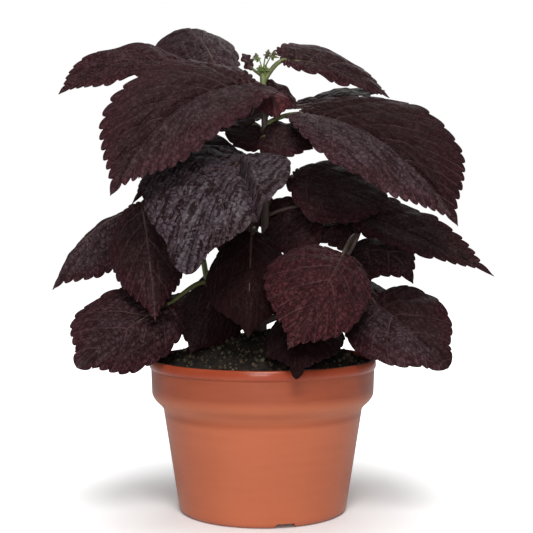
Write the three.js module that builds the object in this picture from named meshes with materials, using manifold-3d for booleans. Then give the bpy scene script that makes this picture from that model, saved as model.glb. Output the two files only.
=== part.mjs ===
// A potted coleus: dark, scalloped leaves on square green stems, growing in a tapered plastic pot of soil.
// Millimetres, +Z up. The origin is the centre of the pot's flat base, and -Y is the plant's front.
//
// Every leaf is one body of blade and petiole. Its blade is drawn flat, as an outline with teeth, and then bent:
// along an arched midrib, down or up at each side of it, and in a slow wave along its edge.
import * as THREE from "three";
import { mergeVertices } from "three/addons/utils/BufferGeometryUtils.js";
import Module from "manifold-3d";

const wasm = await Module();
wasm.setup();
const vec = (p) => new THREE.Vector3(...p);
const radians = THREE.MathUtils.degToRad;

// ---------------------------------------------------------------- driving dimensions

const GAP = 0.3; // between bodies that touch
const SMALLEST_STEP = 0.02; // finer steps than this, left by a cut or a join, are smoothed away
const ROUND_SIDES = 42; // facets of the pot and the soil

const POT = {
  height: 81,
  rimRadius: 60,
  collarRadius: 58.7, // at the foot of the collar
  collarHeight: 63.5,
  stepRadius: 55.4, // half way round the step under the collar
  stepHeight: 57.8,
  neckRadius: 52.4, // where the body meets the step
  neckHeight: 52.8,
  baseRadius: 44.8,
  baseRound: 4, // outside, between the foot and the wall
  wall: 1.8,
  lipWall: 2.8,
  lipHeight: 3.6,
  floorTop: 4.6,
  floorRound: 2.4, // inside, between the floor and the wall
  footHeight: 2.6, // how far the ring between foot and centre is raised
  footSlope: 1.2,
  centreRadius: 14,
  footInner: 38,
};
const DRAIN = { count: 3, firstAngle: -75, ring: 30, radius: 3.6, sides: 16 };
const DRAIN_SLOT = { top: 9, foot: 14, height: 2.4 };
const SOIL = { edgeHeight: 76.5, crownHeight: 90, play: 0.4, clump: 0.9, rings: 6 };

const BLADE_THICKNESS = 0.7;
const WAVES = 2.5; // ripples along each side of a blade
const WAVE_START = { left: 0.1, right: 0.6 }; // how far through a ripple each side starts
const WIDEST = 0.3; // where along the midrib a blade is widest, as a share of its length
const HEEL_REACH = 0.45; // how far from the base a narrowed heel reaches, as a share of the length
const TOOTH_PEAK = 0.68; // where along a tooth its point lies
const TEETH = { least: 3, spacing: 8 }; // on each side of a blade
const TOOTH_HEIGHT = { least: 0.6, share: 1 / 110 }; // share of the blade's length, added to the least
const RING_SHARE = 0.6; // how far out the mesh's middle row runs, from midrib to edge
const RING_STEPS = 6;
// Radii where a petiole leaves the stem, where it meets the blade, and where it ends under the midrib.
const PETIOLE = { atStem: 1.4, atBlade: 1.1, end: 0.5, underBlade: 0.1, rise: 0.5, steps: 4, sides: 5 };

// ---------------------------------------------------------------- solids

function toSolid(geometry) {
  const bare = geometry.clone();
  bare.deleteAttribute("normal");
  bare.deleteAttribute("uv");
  const merged = mergeVertices(bare, 1e-4);
  return new wasm.Manifold(
    new wasm.Mesh({
      numProp: 3,
      vertProperties: merged.getAttribute("position").array,
      triVerts: new Uint32Array(merged.index.array),
    }),
  );
}

function toGeometry(solid) {
  const mesh = solid.getMesh();
  const geometry = new THREE.BufferGeometry();
  geometry.setAttribute("position", new THREE.BufferAttribute(mesh.vertProperties, 3));
  geometry.setIndex(new THREE.BufferAttribute(mesh.triVerts, 1));
  geometry.computeVertexNormals();
  return geometry;
}

// The largest body of a solid: cutting can leave a loose crumb.
function mainBody(solid) {
  return solid.decompose().reduce((a, b) => (a.volume() > b.volume() ? a : b));
}

// A closed solid of round section about the Z axis, from a profile of radius and height.
function turned(profile) {
  const geometry = new THREE.LatheGeometry(profile, ROUND_SIDES);
  geometry.rotateX(Math.PI / 2);
  return geometry;
}

// A closed tube through points. Each ring is the section scaled by that point's radius.
function tube(points, radii, section) {
  const rings = points.length;
  const sides = section.length;
  const position = [];
  let side = null;
  points.forEach((p, i) => {
    const before = points[Math.max(i - 1, 0)];
    const after = points[Math.min(i + 1, rings - 1)];
    const along = after.clone().sub(before).normalize();
    const hint = side ?? (Math.abs(along.x) < 0.9 ? vec([1, 0, 0]) : vec([0, 1, 0]));
    side = hint.clone().addScaledVector(along, -hint.dot(along)).normalize();
    const across = along.clone().cross(side);
    for (const [u, v] of section) {
      const q = p.clone().addScaledVector(side, u * radii[i]).addScaledVector(across, v * radii[i]);
      position.push(q.x, q.y, q.z);
    }
  });
  const index = [];
  for (let i = 0; i + 1 < rings; i++)
    for (let k = 0; k < sides; k++) {
      const [a, b] = [i * sides + k, i * sides + ((k + 1) % sides)];
      index.push(a, b, b + sides, a, b + sides, a + sides);
    }
  const last = (rings - 1) * sides;
  for (let k = 1; k + 1 < sides; k++) index.push(0, k + 1, k, last, last + k, last + k + 1);
  const geometry = new THREE.BufferGeometry();
  geometry.setAttribute("position", new THREE.Float32BufferAttribute(position, 3));
  geometry.setIndex(index);
  return geometry;
}

// A round section of n corners and radius 1.
function polygon(n) {
  const angles = Array.from({ length: n }, (_, k) => (2 * Math.PI * k) / n);
  return angles.map((angle) => [Math.cos(angle), Math.sin(angle)]);
}

// ---------------------------------------------------------------- pot

function potProfile(p) {
  const path = new THREE.Path();
  path.moveTo(0, 0);
  path.lineTo(p.centreRadius, 0);
  path.lineTo(p.centreRadius + p.footSlope, p.footHeight);
  path.lineTo(p.footInner - p.footSlope, p.footHeight);
  path.lineTo(p.footInner, 0);
  path.lineTo(p.baseRadius - p.baseRound, 0);
  path.quadraticCurveTo(p.baseRadius, 0, p.baseRadius, p.baseRound);
  path.lineTo(p.neckRadius, p.neckHeight);
  path.quadraticCurveTo(p.neckRadius, (p.neckHeight + p.stepHeight) / 2, p.stepRadius, p.stepHeight);
  path.quadraticCurveTo(p.collarRadius, (p.stepHeight + p.collarHeight) / 2, p.collarRadius, p.collarHeight);
  path.lineTo(p.rimRadius, p.height - p.lipHeight);
  path.quadraticCurveTo(p.rimRadius, p.height, p.rimRadius - p.lipWall / 2, p.height);
  path.quadraticCurveTo(p.rimRadius - p.lipWall, p.height, p.rimRadius - p.lipWall, p.height - p.lipHeight);
  path.lineTo(p.collarRadius - p.wall, p.collarHeight);
  path.lineTo(p.stepRadius - p.wall, p.stepHeight);
  path.lineTo(p.neckRadius - p.wall, p.neckHeight);
  path.lineTo(p.baseRadius - p.wall, p.floorTop + p.floorRound);
  path.lineTo(p.baseRadius - p.wall - p.floorRound, p.floorTop);
  path.lineTo(0, p.floorTop);
  return path.getPoints(2);
}

// A water slot under the foot: a low trapezoid that runs in from the edge to its drain hole.
function drainSlot() {
  const { foot, top, height } = DRAIN_SLOT;
  const shape = new THREE.Shape();
  shape.moveTo(-foot / 2, -height);
  shape.lineTo(foot / 2, -height);
  shape.lineTo(top / 2, height);
  shape.lineTo(-top / 2, height);
  const geometry = new THREE.ExtrudeGeometry(shape, { depth: POT.baseRadius - DRAIN.ring, bevelEnabled: false });
  geometry.rotateX(Math.PI / 2).rotateZ(Math.PI / 2);
  geometry.translate(DRAIN.ring, 0, 0);
  return geometry;
}

function buildPot() {
  const hole = new THREE.CylinderGeometry(DRAIN.radius, DRAIN.radius, 4 * POT.floorTop, DRAIN.sides);
  hole.rotateX(Math.PI / 2);
  hole.translate(DRAIN.ring, 0, 0);
  let pot = toSolid(turned(potProfile(POT)));
  for (let k = 0; k < DRAIN.count; k++) {
    const turn = [0, 0, DRAIN.firstAngle + (360 / DRAIN.count) * k];
    pot = pot.subtract(toSolid(drainSlot()).rotate(turn)).subtract(toSolid(hole).rotate(turn));
  }
  return mainBody(pot);
}

// ---------------------------------------------------------------- soil

// Clumps on the top of the soil, as a height over its smooth crown.
const clumps = (x, y) =>
  SOIL.clump * (Math.sin(0.37 * x + 1.1) * Math.cos(0.41 * y) + 0.6 * Math.sin(0.83 * x - 0.62 * y + 0.5));

function buildSoil() {
  const foot = POT.floorTop + GAP;
  const corner = (r, z) => new THREE.Vector2(r - POT.wall - SOIL.play, z);
  const profile = [
    new THREE.Vector2(0, foot),
    corner(POT.baseRadius - POT.floorRound, foot),
    corner(POT.baseRadius, foot + POT.floorRound),
    corner(POT.neckRadius, POT.neckHeight),
    corner(POT.stepRadius, POT.stepHeight),
    corner(POT.collarRadius, POT.collarHeight),
  ];
  const edge = POT.rimRadius - POT.lipWall - SOIL.play;
  for (let k = 0; k <= SOIL.rings; k++) {
    const share = 1 - k / SOIL.rings;
    const rise = (SOIL.crownHeight - SOIL.edgeHeight) * (1 - share ** 2);
    profile.push(new THREE.Vector2(edge * share, SOIL.edgeHeight + rise));
  }
  const geometry = turned(profile);
  const p = geometry.getAttribute("position");
  for (let i = 0; i < p.count; i++)
    if (p.getZ(i) > SOIL.edgeHeight - 0.01) p.setZ(i, p.getZ(i) + clumps(p.getX(i), p.getY(i)));
  return toSolid(geometry);
}

// ---------------------------------------------------------------- stems

// Square stems. The main stem stands in the soil, and each branch leaves it at a leaf joint.
const STEM_SECTION = [[1, -1], [1, 1], [-1, 1], [-1, -1]];
const STEMS = {
  main: {
    path: [[0, 0, 42], [0, 0, 78], [0, 2, 111], [1, 2, 143], [2, 0, 175], [1, 0, 205], [0, 0, 231]],
    halfWidths: [2.5, 1.4],
  },
  left: { path: [[0, 1, 94], [-16, -4, 106], [-28, -8, 120], [-32, -9, 136], [-42, -8, 156]], halfWidths: [1.8, 1.2] },
  right: { path: [[0, 1, 99], [16, -3, 107], [34, -6, 122], [46, -6, 138], [52, -5, 152]], halfWidths: [1.8, 1.2] },
  back: { path: [[0, 2, 106], [-3, 14, 118], [-6, 26, 138], [-6, 32, 158], [-5, 35, 172]], halfWidths: [1.8, 1.2] },
};
const stemCurve = (name) => new THREE.CatmullRomCurve3(STEMS[name].path.map(vec));

// The point on a stem's axis at one height. Every stem rises all the way along.
function stemPoint(name, height) {
  const points = stemCurve(name).getPoints(80);
  return points.reduce((best, p) => (Math.abs(p.z - height) < Math.abs(best.z - height) ? p : best));
}

function stemTube(name, extra) {
  const { path, halfWidths } = STEMS[name];
  const steps = 2 * (path.length - 1);
  const points = stemCurve(name).getPoints(steps);
  const sizeAt = (_, i) => THREE.MathUtils.lerp(...halfWidths, i / steps) + extra;
  return tube(points, points.map(sizeAt), STEM_SECTION);
}

function buildStems(extra = 0) {
  return Object.keys(STEMS).map((name) => toSolid(stemTube(name, extra))).reduce((a, b) => a.add(b));
}

// ---------------------------------------------------------------- blades

// One side of a flat blade, from its base round to its tip: distance along as a share of the length, and distance
// out as a share of the half width. The first points run back, and make the heart-shaped base.
const OUTLINE = new THREE.SplineCurve(
  [
    [0, 0], [-0.05, 0.24], [-0.035, 0.54], [0.08, 0.85], [0.26, 1],
    [0.47, 0.97], [0.68, 0.78], [0.84, 0.47], [0.94, 0.17], [1, 0],
  ].map(([x, y]) => new THREE.Vector2(x, y)),
);

// A leaf with its sizes worked out from the five points that place it.
function makeLeaf(row) {
  const [base, middle, tip] = [row.base, row.middle, row.tip].map(vec);
  const arch = middle.clone().multiplyScalar(2).addScaledVector(base, -0.5).addScaledVector(tip, -0.5);
  const midrib = new THREE.QuadraticBezierCurve3(base, arch, tip);
  const length = midrib.getLength();
  const along = midrib.getTangentAt(WIDEST);
  const chords = [row.left, row.right].map((p) => {
    const d = vec(p).sub(midrib.getPointAt(WIDEST));
    return d.addScaledVector(along, -d.dot(along));
  });
  const up = along.clone().cross(chords[0].clone().sub(chords[1])).normalize();
  const curl = radians(row.curl ?? 30);
  const twist = radians(row.twist ?? 0);
  const [wave, fullness, heel] = [row.wave ?? 1, row.fullness ?? 1, row.heel ?? 0];
  const leaf = { base, midrib, length, along, up, curl, twist, wave, fullness, heel };
  leaf.widths = chords.map((d) => (d.length() * (curl / 2)) / Math.sin(curl / 2));
  leaf.folds = chords.map((d) => Math.asin(-d.dot(up) / d.length()) - curl / 2);
  leaf.teeth = TEETH.least + Math.round(length / TEETH.spacing);
  leaf.toothHeight = TOOTH_HEIGHT.least + TOOTH_HEIGHT.share * length;
  return leaf;
}

// The blade's edge at u, from 0 at the base to 1 at the tip, in millimetres on the flat blade.
function plainEdge(leaf, side, u) {
  const p = OUTLINE.getPointAt(THREE.MathUtils.clamp(u, 0, 1));
  const share = p.x > 0 ? p.x ** leaf.fullness : p.x * (1 - leaf.heel);
  const narrowed = 1 - leaf.heel * Math.max(0, 1 - Math.max(0, share) / HEEL_REACH) ** 2;
  return [share * leaf.length, side * p.y * narrowed * leaf.widths[side > 0 ? 0 : 1]];
}

// The same moved out by lift, square to the edge.
function edgePoint(leaf, side, u, lift) {
  const [x, y] = plainEdge(leaf, side, u);
  const [before, after] = [plainEdge(leaf, side, u - 0.01), plainEdge(leaf, side, u + 0.01)];
  const [along, out] = [after[0] - before[0], after[1] - before[1]];
  const size = Math.hypot(along, out);
  return [x - (side * out * lift) / size, y + (side * along * lift) / size];
}

// The bent blade: a point at x along and y across (left of the midrib is positive) of the flat one.
function bend(leaf, x, y) {
  const share = THREE.MathUtils.clamp(x / leaf.length, 0, 1);
  const along = leaf.midrib.getTangentAt(share);
  const at = leaf.midrib.getPointAt(share).addScaledVector(along, x - share * leaf.length);
  const up = leaf.up.clone().applyQuaternion(new THREE.Quaternion().setFromUnitVectors(leaf.along, along));
  up.applyAxisAngle(along, leaf.twist * (share - WIDEST));
  const left = up.clone().cross(along);
  const [width, fold] = y > 0 ? [leaf.widths[0], leaf.folds[0]] : [leaf.widths[1], leaf.folds[1]];
  const r = Math.abs(y);
  const k = leaf.curl / width;
  const across = (Math.sin(fold + k * r) - Math.sin(fold)) / k;
  const drop = (Math.cos(fold) - Math.cos(fold + k * r)) / k;
  const phase = WAVES * share + (y > 0 ? WAVE_START.left : WAVE_START.right);
  const ripple = leaf.wave * (r / width) ** 2 * Math.sin(2 * Math.PI * phase);
  return at.addScaledVector(left, Math.sign(y) * across).addScaledVector(up, ripple - drop);
}

function bladeNormal(leaf, x, y) {
  const e = 0.05;
  const side = y < 0 ? -1 : 1;
  const dx = bend(leaf, x + e, y).sub(bend(leaf, x - e, y));
  const dy = bend(leaf, x, y + side * e).sub(bend(leaf, x, y)).multiplyScalar(side);
  return dx.cross(dy).normalize();
}

// The triangles between two rows that share both ends.
function strip(a, b, side) {
  const faces = [];
  let [i, j] = [0, 0];
  while (i + 1 < a.length || j + 1 < b.length) {
    const nextOnB = (j + 1) / (b.length - 1) <= (i + 1) / (a.length - 1);
    const face = nextOnB ? [a[i], b[j], b[j + 1]] : [a[i], b[j], a[i + 1]];
    if (nextOnB) j++;
    else i++;
    if (new Set(face).size === 3) faces.push(side > 0 ? face.reverse() : face);
  }
  return faces;
}

// The blade as a closed thin body. Both faces share one layout of triangles, so they never cross.
function bladeGeometry(leaf) {
  const flat = [[0, 0], [leaf.length, 0]]; // base and tip, shared by every row
  const addRow = (points) => {
    const first = flat.length;
    flat.push(...points);
    return [0, ...points.map((_, i) => first + i), 1];
  };
  const steps = Array.from({ length: RING_STEPS - 1 }, (_, i) => (i + 1) / RING_STEPS);
  const veinRoot = (u) => [u * u * leaf.length, 0]; // where the side vein that ends at edge point u leaves the midrib
  const midribRow = addRow(steps.map(veinRoot));
  const faces = [];
  const edges = [1, -1].map((side) => {
    const ringRow = addRow(
      steps.map((u) => {
        const [x, y] = edgePoint(leaf, side, u, 0);
        return [THREE.MathUtils.lerp(veinRoot(u)[0], x, RING_SHARE), y * RING_SHARE];
      }),
    );
    const edge = [];
    for (let k = 0; k < leaf.teeth; k++) {
      if (k > 0) edge.push(edgePoint(leaf, side, k / leaf.teeth, 0));
      edge.push(edgePoint(leaf, side, (k + TOOTH_PEAK) / leaf.teeth, leaf.toothHeight));
    }
    const edgeRow = addRow(edge);
    faces.push(...strip(midribRow, ringRow, side), ...strip(ringRow, edgeRow, side));
    return edgeRow;
  });

  const position = [];
  for (const side of [0.5, -0.5])
    for (const [x, y] of flat) {
      const p = bend(leaf, x, y).addScaledVector(bladeNormal(leaf, x, y), side * BLADE_THICKNESS);
      position.push(p.x, p.y, p.z);
    }
  const under = flat.length;
  const index = faces.flatMap(([a, b, c]) => [a, b, c, a + under, c + under, b + under]);
  const rim = (a, b) => index.push(a, a + under, b + under, a, b + under, b);
  const [leftEdge, rightEdge] = edges;
  for (let i = 0; i + 1 < leftEdge.length; i++) {
    rim(leftEdge[i + 1], leftEdge[i]);
    rim(rightEdge[i], rightEdge[i + 1]);
  }
  const geometry = new THREE.BufferGeometry();
  geometry.setAttribute("position", new THREE.Float32BufferAttribute(position, 3));
  geometry.setIndex(index);
  return geometry;
}

// The stalk from the stem's axis to the blade's base, and a little way on below the blade.
function petioleGeometry(leaf, start) {
  const reach = start.distanceTo(leaf.base) / 3;
  const leave = leaf.base.clone().sub(start).normalize().add(vec([0, 0, PETIOLE.rise])).normalize();
  const curve = new THREE.CubicBezierCurve3(
    start,
    start.clone().addScaledVector(leave, reach),
    leaf.base.clone().addScaledVector(leaf.midrib.getTangentAt(0), -reach),
    leaf.base,
  );
  const points = curve.getPoints(PETIOLE.steps);
  const radii = points.map((_, i) => THREE.MathUtils.lerp(PETIOLE.atStem, PETIOLE.atBlade, i / PETIOLE.steps));
  points.push(bend(leaf, PETIOLE.underBlade * leaf.length, 0).addScaledVector(leaf.up, -PETIOLE.end / 2));
  radii.push(PETIOLE.end);
  return tube(points, radii, polygon(PETIOLE.sides));
}

// ---------------------------------------------------------------- leaves

// stem and joint: the stem that the petiole leaves, and at what height. base, middle and tip: three points of the
// midrib. left and right: where the blade's two edges are at its widest, as seen from its base with its upper side
// up. Where given, curl is how far each half rolls down from midrib to edge, and twist how far the blade turns
// from base to tip, both in degrees, wave is the height of the ripple at the edge, fullness moves the widest place out
// towards the tip when it is below 1 and back when above, and heel, from 0 to 1, narrows the blade towards its base.
const LEAVES = {
  crown_front_left: {
    stem: "main", joint: 216, base: [-6, -14, 223], middle: [-42, -48, 207], tip: [-71, -74, 165],
    left: [-27, -63, 196], right: [-38, -14, 238], twist: -24, fullness: 0.87,
  },
  crown_left: {
    stem: "main", joint: 223, base: [-45, 20, 235], middle: [-74, 12, 238], tip: [-108, 2, 220],
    left: [-64, 1, 230], right: [-71, 31, 250], fullness: 0.9,
  },
  crown_back_left: {
    stem: "main", joint: 218, base: [-28, 44, 242], middle: [-47, 78, 266], tip: [-71, 104, 253],
    left: [-44, 49, 234], right: [-28, 90, 267],
  },
  crown_right: {
    stem: "main", joint: 226, base: [12, 2, 238], middle: [41, 18, 235], tip: [70, 32, 221],
    left: [31, 31, 249], right: [43, 12, 228], fullness: 0.9, heel: 0.4,
  },
  upper_right: {
    stem: "main", joint: 203, base: [20, -7, 209], middle: [59, -50, 191], tip: [91, -76, 151],
    left: [62, -13, 218], right: [36, -61, 184], twist: 10, fullness: 0.82, heel: 0.5,
  },
  middle_front: {
    stem: "main", joint: 178, base: [-8, -26, 186], middle: [-25, -60, 165], tip: [-36, -68, 128],
    left: [18, -42, 182], right: [-62, -52, 171],
  },
  middle_left: {
    stem: "main", joint: 176, base: [-9, 4, 184], middle: [-36, -2, 198], tip: [-67, -18, 162],
    left: [-24, -20, 180], right: [-27, 28, 194],
  },
  far_left: {
    stem: "left", joint: 148, base: [-68, 4, 159], middle: [-92, -4, 145], tip: [-110, -8, 117],
    left: [-80, -2, 128], right: [-90, 19, 147],
  },
  hanging_left: {
    stem: "left", joint: 155, base: [-62, -14, 162], middle: [-56, -40, 135], tip: [-53, -44, 104],
    left: [-42, -14, 137], right: [-78, -17, 141],
  },
  low_left: {
    stem: "left", joint: 121, base: [-48, -24, 111], middle: [-70, -46, 98], tip: [-89, -62, 83],
    left: [-59, -47, 81], right: [-80, -21, 116], fullness: 0.85,
  },
  low_front_left: {
    stem: "main", joint: 118, base: [-19, -4, 128], middle: [-28, -19, 109], tip: [-37, -26, 85],
    left: [-7, 3, 105], right: [-41, 5, 112],
  },
  front: {
    stem: "main", joint: 131, base: [-5, -33, 147], middle: [-6, -55, 122], tip: [-7, -60, 97],
    left: [13, -24, 129], right: [-27, -26, 131], fullness: 0.98,
  },
  front_right: {
    stem: "right", joint: 145, base: [40, -34, 136], middle: [27, -66, 117], tip: [12, -72, 93],
    left: [57, -35, 122], right: [7, -39, 135], fullness: 0.92,
  },
  low_right: {
    stem: "right", joint: 124, base: [58, -16, 111], middle: [72, -42, 100], tip: [90, -56, 82],
    left: [78, -12, 121], right: [49, -47, 88], twist: -12, fullness: 0.85,
  },
  far_right: {
    stem: "right", joint: 150, base: [53, -2, 156], middle: [85, -14, 143], tip: [118, -24, 125],
    left: [72, 4, 163], right: [69, -23, 140], fullness: 1.4,
  },
  shaded_right: {
    stem: "right", joint: 133, base: [47, 6, 133], middle: [65, -2, 137], tip: [79, -6, 120],
    left: [66, 17, 146], right: [55, -9, 121], fullness: 1.3,
  },
  middle_right: {
    stem: "main", joint: 173, base: [16, 1, 176], middle: [40, -10, 169], tip: [65, -19, 158],
    left: [47, 18, 185], right: [28, -22, 154], fullness: 0.82, heel: 0.6,
  },
  inner_front: {
    stem: "main", joint: 155, base: [22, -2, 159], middle: [12, -3, 150], tip: [0, -2, 139],
    left: [25, -16, 139], right: [8, 7, 165],
  },
  inner_right: {
    stem: "right", joint: 147, base: [47, 2, 153], middle: [39, -6, 151], tip: [28, -12, 142],
    left: [41, -9, 137], right: [38, 11, 156],
  },
  young_left: {
    stem: "main", joint: 195, base: [-5, 4, 204], middle: [-14, 2, 202], tip: [-24, -3, 205],
    left: [-9, -5, 190], right: [-11, 13, 208], fullness: 1.4,
  },
  young_right: {
    stem: "main", joint: 190, base: [1, -11, 197], middle: [12, -15, 196], tip: [26, -17, 190],
    left: [12, -2, 205], right: [10, -25, 185],
  },
  young_back: {
    stem: "main", joint: 221, base: [3, 5, 223], middle: [10, 8, 220], tip: [18, 9, 213],
    left: [12, 14, 225], right: [4, 0, 213],
  },
  young_front: {
    stem: "main", joint: 223, base: [2, -6, 220], middle: [5, -13, 216], tip: [7, -14, 206],
    left: [12, -5, 219], right: [-2, -6, 212],
  },
  young_top: {
    stem: "main", joint: 228, base: [-6, 0, 234], middle: [-8, -1, 237], tip: [-11, -1, 241],
    left: [-10, -6, 235], right: [-6, 4, 239],
  },
  rim_front: {
    stem: "right", joint: 106, base: [17, -26, 108], middle: [17, -58, 96], tip: [16, -66, 78],
    left: [40, -45, 94], right: [1, -30, 93],
  },
  upper_back_right: {
    stem: "main", joint: 210, base: [26, 24, 217], middle: [49, 48, 227], tip: [72, 70, 227],
    left: [45, 63, 230], right: [44, 17, 218],
  },
  crown_back: {
    stem: "main", joint: 213, base: [2, 26, 219], middle: [-2, 56, 224], tip: [-10, 86, 209],
    left: [-19, 42, 219], right: [19, 48, 219],
  },
  upper_back_left: {
    stem: "main", joint: 208, base: [-14, 25, 208], middle: [-46, 50, 211], tip: [-74, 78, 178],
    left: [-54, 19, 202], right: [-18, 64, 210],
  },
  middle_back_left: {
    stem: "main", joint: 170, base: [-10, 20, 172], middle: [-34, 50, 178], tip: [-56, 80, 150],
    left: [-48, 21, 169], right: [-3, 57, 175],
  },
  middle_back_right: {
    stem: "main", joint: 150, base: [16, 24, 157], middle: [46, 52, 166], tip: [74, 78, 142],
    left: [16, 61, 160], right: [53, 22, 156],
  },
  back_left: {
    stem: "left", joint: 140, base: [-44, 14, 148], middle: [-66, 40, 146], tip: [-84, 64, 120],
    left: [-78, 15, 139], right: [-40, 47, 143],
  },
  back_high: {
    stem: "back", joint: 168, base: [-12, 46, 170], middle: [-20, 76, 162], tip: [-26, 100, 132],
    left: [-41, 60, 159], right: [6, 73, 159],
  },
  low_back: {
    stem: "back", joint: 120, base: [-6, 36, 122], middle: [-14, 66, 116], tip: [-20, 92, 88],
    left: [-37, 50, 112], right: [13, 63, 112],
  },
  low_back_right: {
    stem: "right", joint: 118, base: [40, 16, 125], middle: [62, 40, 114], tip: [84, 60, 88],
    left: [36, 49, 114], right: [72, 15, 110],
  },
  low_back_left: {
    stem: "left", joint: 112, base: [-38, 16, 114], middle: [-62, 42, 104], tip: [-86, 62, 76],
    left: [-72, 16, 100], right: [-35, 52, 104],
  },
};

// ---------------------------------------------------------------- shoot tip

// The growing point above the last leaf joint: a bud with tiny folded leaves on thin stalks.
// end: where a stalk's end lies from the foot of the bud. size: length of the folded leaf there.
const SHOOT_TIP = {
  foot: [0, 0, 231 + GAP],
  budHeight: 3.5,
  budRadius: 1.3,
  stalkRadius: 0.45,
  stalks: [
    { end: [-2.2, 1.2, 8.2], size: 2.8 },
    { end: [1.6, -1.2, 9.4], size: 2.8 },
    { end: [4.6, -3.2, 8.6], size: 3.2 },
  ],
};
// A folded leaf's radii at three places, as shares of its length from the stalk's end, and how far it hangs.
const FOLDED = { radii: [0.4, 0.75, 0.15], places: [-0.15, 0.4, 1], droop: 0.45 };

function buildStalk({ end, size }) {
  const foot = vec(SHOOT_TIP.foot);
  const tip = foot.clone().add(vec(end));
  const knee = foot.clone().add(vec([end[0] / 3, end[1] / 3, (2 * end[2]) / 3]));
  const start = foot.clone().setZ(foot.z + SHOOT_TIP.budHeight / 2);
  const stalk = toSolid(tube([start, knee, tip], Array(3).fill(SHOOT_TIP.stalkRadius), polygon(3)));
  const hang = tip.clone().sub(knee).setZ(0).setLength(size).setZ(-FOLDED.droop * size);
  const points = FOLDED.places.map((share) => tip.clone().addScaledVector(hang, share));
  return stalk.add(toSolid(tube(points, FOLDED.radii, polygon(4))));
}

function buildShootTip() {
  const { foot, budHeight, budRadius, stalks } = SHOOT_TIP;
  const points = [0, 0.5, 1].map((share) => vec(foot).setZ(foot[2] + share * budHeight));
  const bud = toSolid(tube(points, [budRadius, budRadius, budRadius / 2], polygon(5)));
  return stalks.reduce((body, stalk) => body.add(buildStalk(stalk)), bud);
}

// ---------------------------------------------------------------- the plant in its pot

const finish = (color, roughness) =>
  new THREE.MeshStandardMaterial({ color, roughness, metalness: 0, flatShading: true });
const FINISHES = {
  pot: finish(0xc4714f, 0.45),
  soil: finish(0x1c1510, 0.95),
  stem: finish(0x5d6a38, 0.6),
  leaf: finish(0x3a2426, 0.6),
};

const coleus = new THREE.Group();
coleus.name = "potted_coleus";

function place(name, solid, material) {
  const mesh = new THREE.Mesh(toGeometry(solid), material);
  mesh.name = name;
  coleus.add(mesh);
}

const stemRoom = buildStems(GAP);
place("pot", buildPot(), FINISHES.pot);
place("soil", buildSoil().subtract(stemRoom), FINISHES.soil);
place("stems", buildStems(), FINISHES.stem);
place("shoot_tip", buildShootTip().subtract(stemRoom), FINISHES.stem);
for (const [name, row] of Object.entries(LEAVES)) {
  const leaf = makeLeaf(row);
  const petiole = petioleGeometry(leaf, stemPoint(row.stem, row.joint));
  const body = toSolid(bladeGeometry(leaf)).add(toSolid(petiole)).subtract(stemRoom);
  place(`leaf_${name}`, mainBody(body).simplify(SMALLEST_STEP), FINISHES.leaf);
}

export default coleus;
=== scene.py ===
# %% [markdown]
# # A coleus in its pot
# This lesson dresses a coleus, a dark-leaved bedding plant, in Blender. Plain solids of the pot, the soil,
# the stems and each leaf come first, from a file: they hold the sizes and the places. Each is then replaced
# by a finer piece of the same form, with its veins, teeth, crumbs and gloss, and lit as in a small studio.

import math

import bpy
import numpy as np
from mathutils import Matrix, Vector, noise


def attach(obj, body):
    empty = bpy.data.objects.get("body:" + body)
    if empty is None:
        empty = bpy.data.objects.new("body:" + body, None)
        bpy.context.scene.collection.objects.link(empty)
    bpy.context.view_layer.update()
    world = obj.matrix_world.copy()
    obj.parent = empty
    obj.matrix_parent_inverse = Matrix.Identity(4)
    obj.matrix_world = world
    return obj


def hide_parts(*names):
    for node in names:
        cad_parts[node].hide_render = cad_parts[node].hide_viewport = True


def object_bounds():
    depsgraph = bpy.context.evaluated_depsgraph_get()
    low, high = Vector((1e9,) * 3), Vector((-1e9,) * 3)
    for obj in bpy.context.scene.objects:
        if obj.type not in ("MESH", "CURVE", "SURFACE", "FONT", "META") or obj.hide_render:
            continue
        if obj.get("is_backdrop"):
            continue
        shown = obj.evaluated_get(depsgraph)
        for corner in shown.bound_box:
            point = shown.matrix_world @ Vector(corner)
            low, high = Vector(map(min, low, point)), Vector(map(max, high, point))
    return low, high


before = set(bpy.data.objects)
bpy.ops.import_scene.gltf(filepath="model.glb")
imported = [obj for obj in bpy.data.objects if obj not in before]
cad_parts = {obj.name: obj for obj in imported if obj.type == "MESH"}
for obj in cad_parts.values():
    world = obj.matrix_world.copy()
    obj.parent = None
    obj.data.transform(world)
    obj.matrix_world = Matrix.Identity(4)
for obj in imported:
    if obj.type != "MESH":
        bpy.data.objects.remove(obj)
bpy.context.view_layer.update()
MM = 0.001

# %% [markdown]
# ## The camera
# The camera stands a little above the soil and looks very slightly down, so that the pot's rim shows as a
# flat oval. A long lens from 63 cm away keeps the near leaves from looking too large beside the far ones.

# %% Set up the camera
CAMERA_PLACE = (0.00195, -0.627, 0.1554)
CAMERA_PITCH = 2.41  # degrees below level
CAMERA_LENS = 80  # mm
CAMERA_SENSOR = 36  # mm wide
CAMERA_REACH = 20  # m

bpy.ops.object.camera_add(location=CAMERA_PLACE, rotation=(math.radians(90 - CAMERA_PITCH), 0, 0))
camera = bpy.context.object
camera.data.lens = CAMERA_LENS
camera.data.sensor_width = CAMERA_SENSOR
camera.data.clip_end = CAMERA_REACH
bpy.context.scene.camera = camera
print(f"camera {-CAMERA_PLACE[1] * 100:.0f} cm in front")

# %% [markdown]
# ## Picking
# Blender's operators work on whatever is selected, and the plain solids come in selected. So each step
# first picks the objects that it means, and a new primitive is added with nothing picked.

# %% Pick objects
def pick(*things):
    """Selects these objects alone and makes the first one active."""
    bpy.ops.object.select_all(action="DESELECT")
    for thing in things:
        thing.select_set(True)
    if things:
        bpy.context.view_layer.objects.active = things[0]


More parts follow.
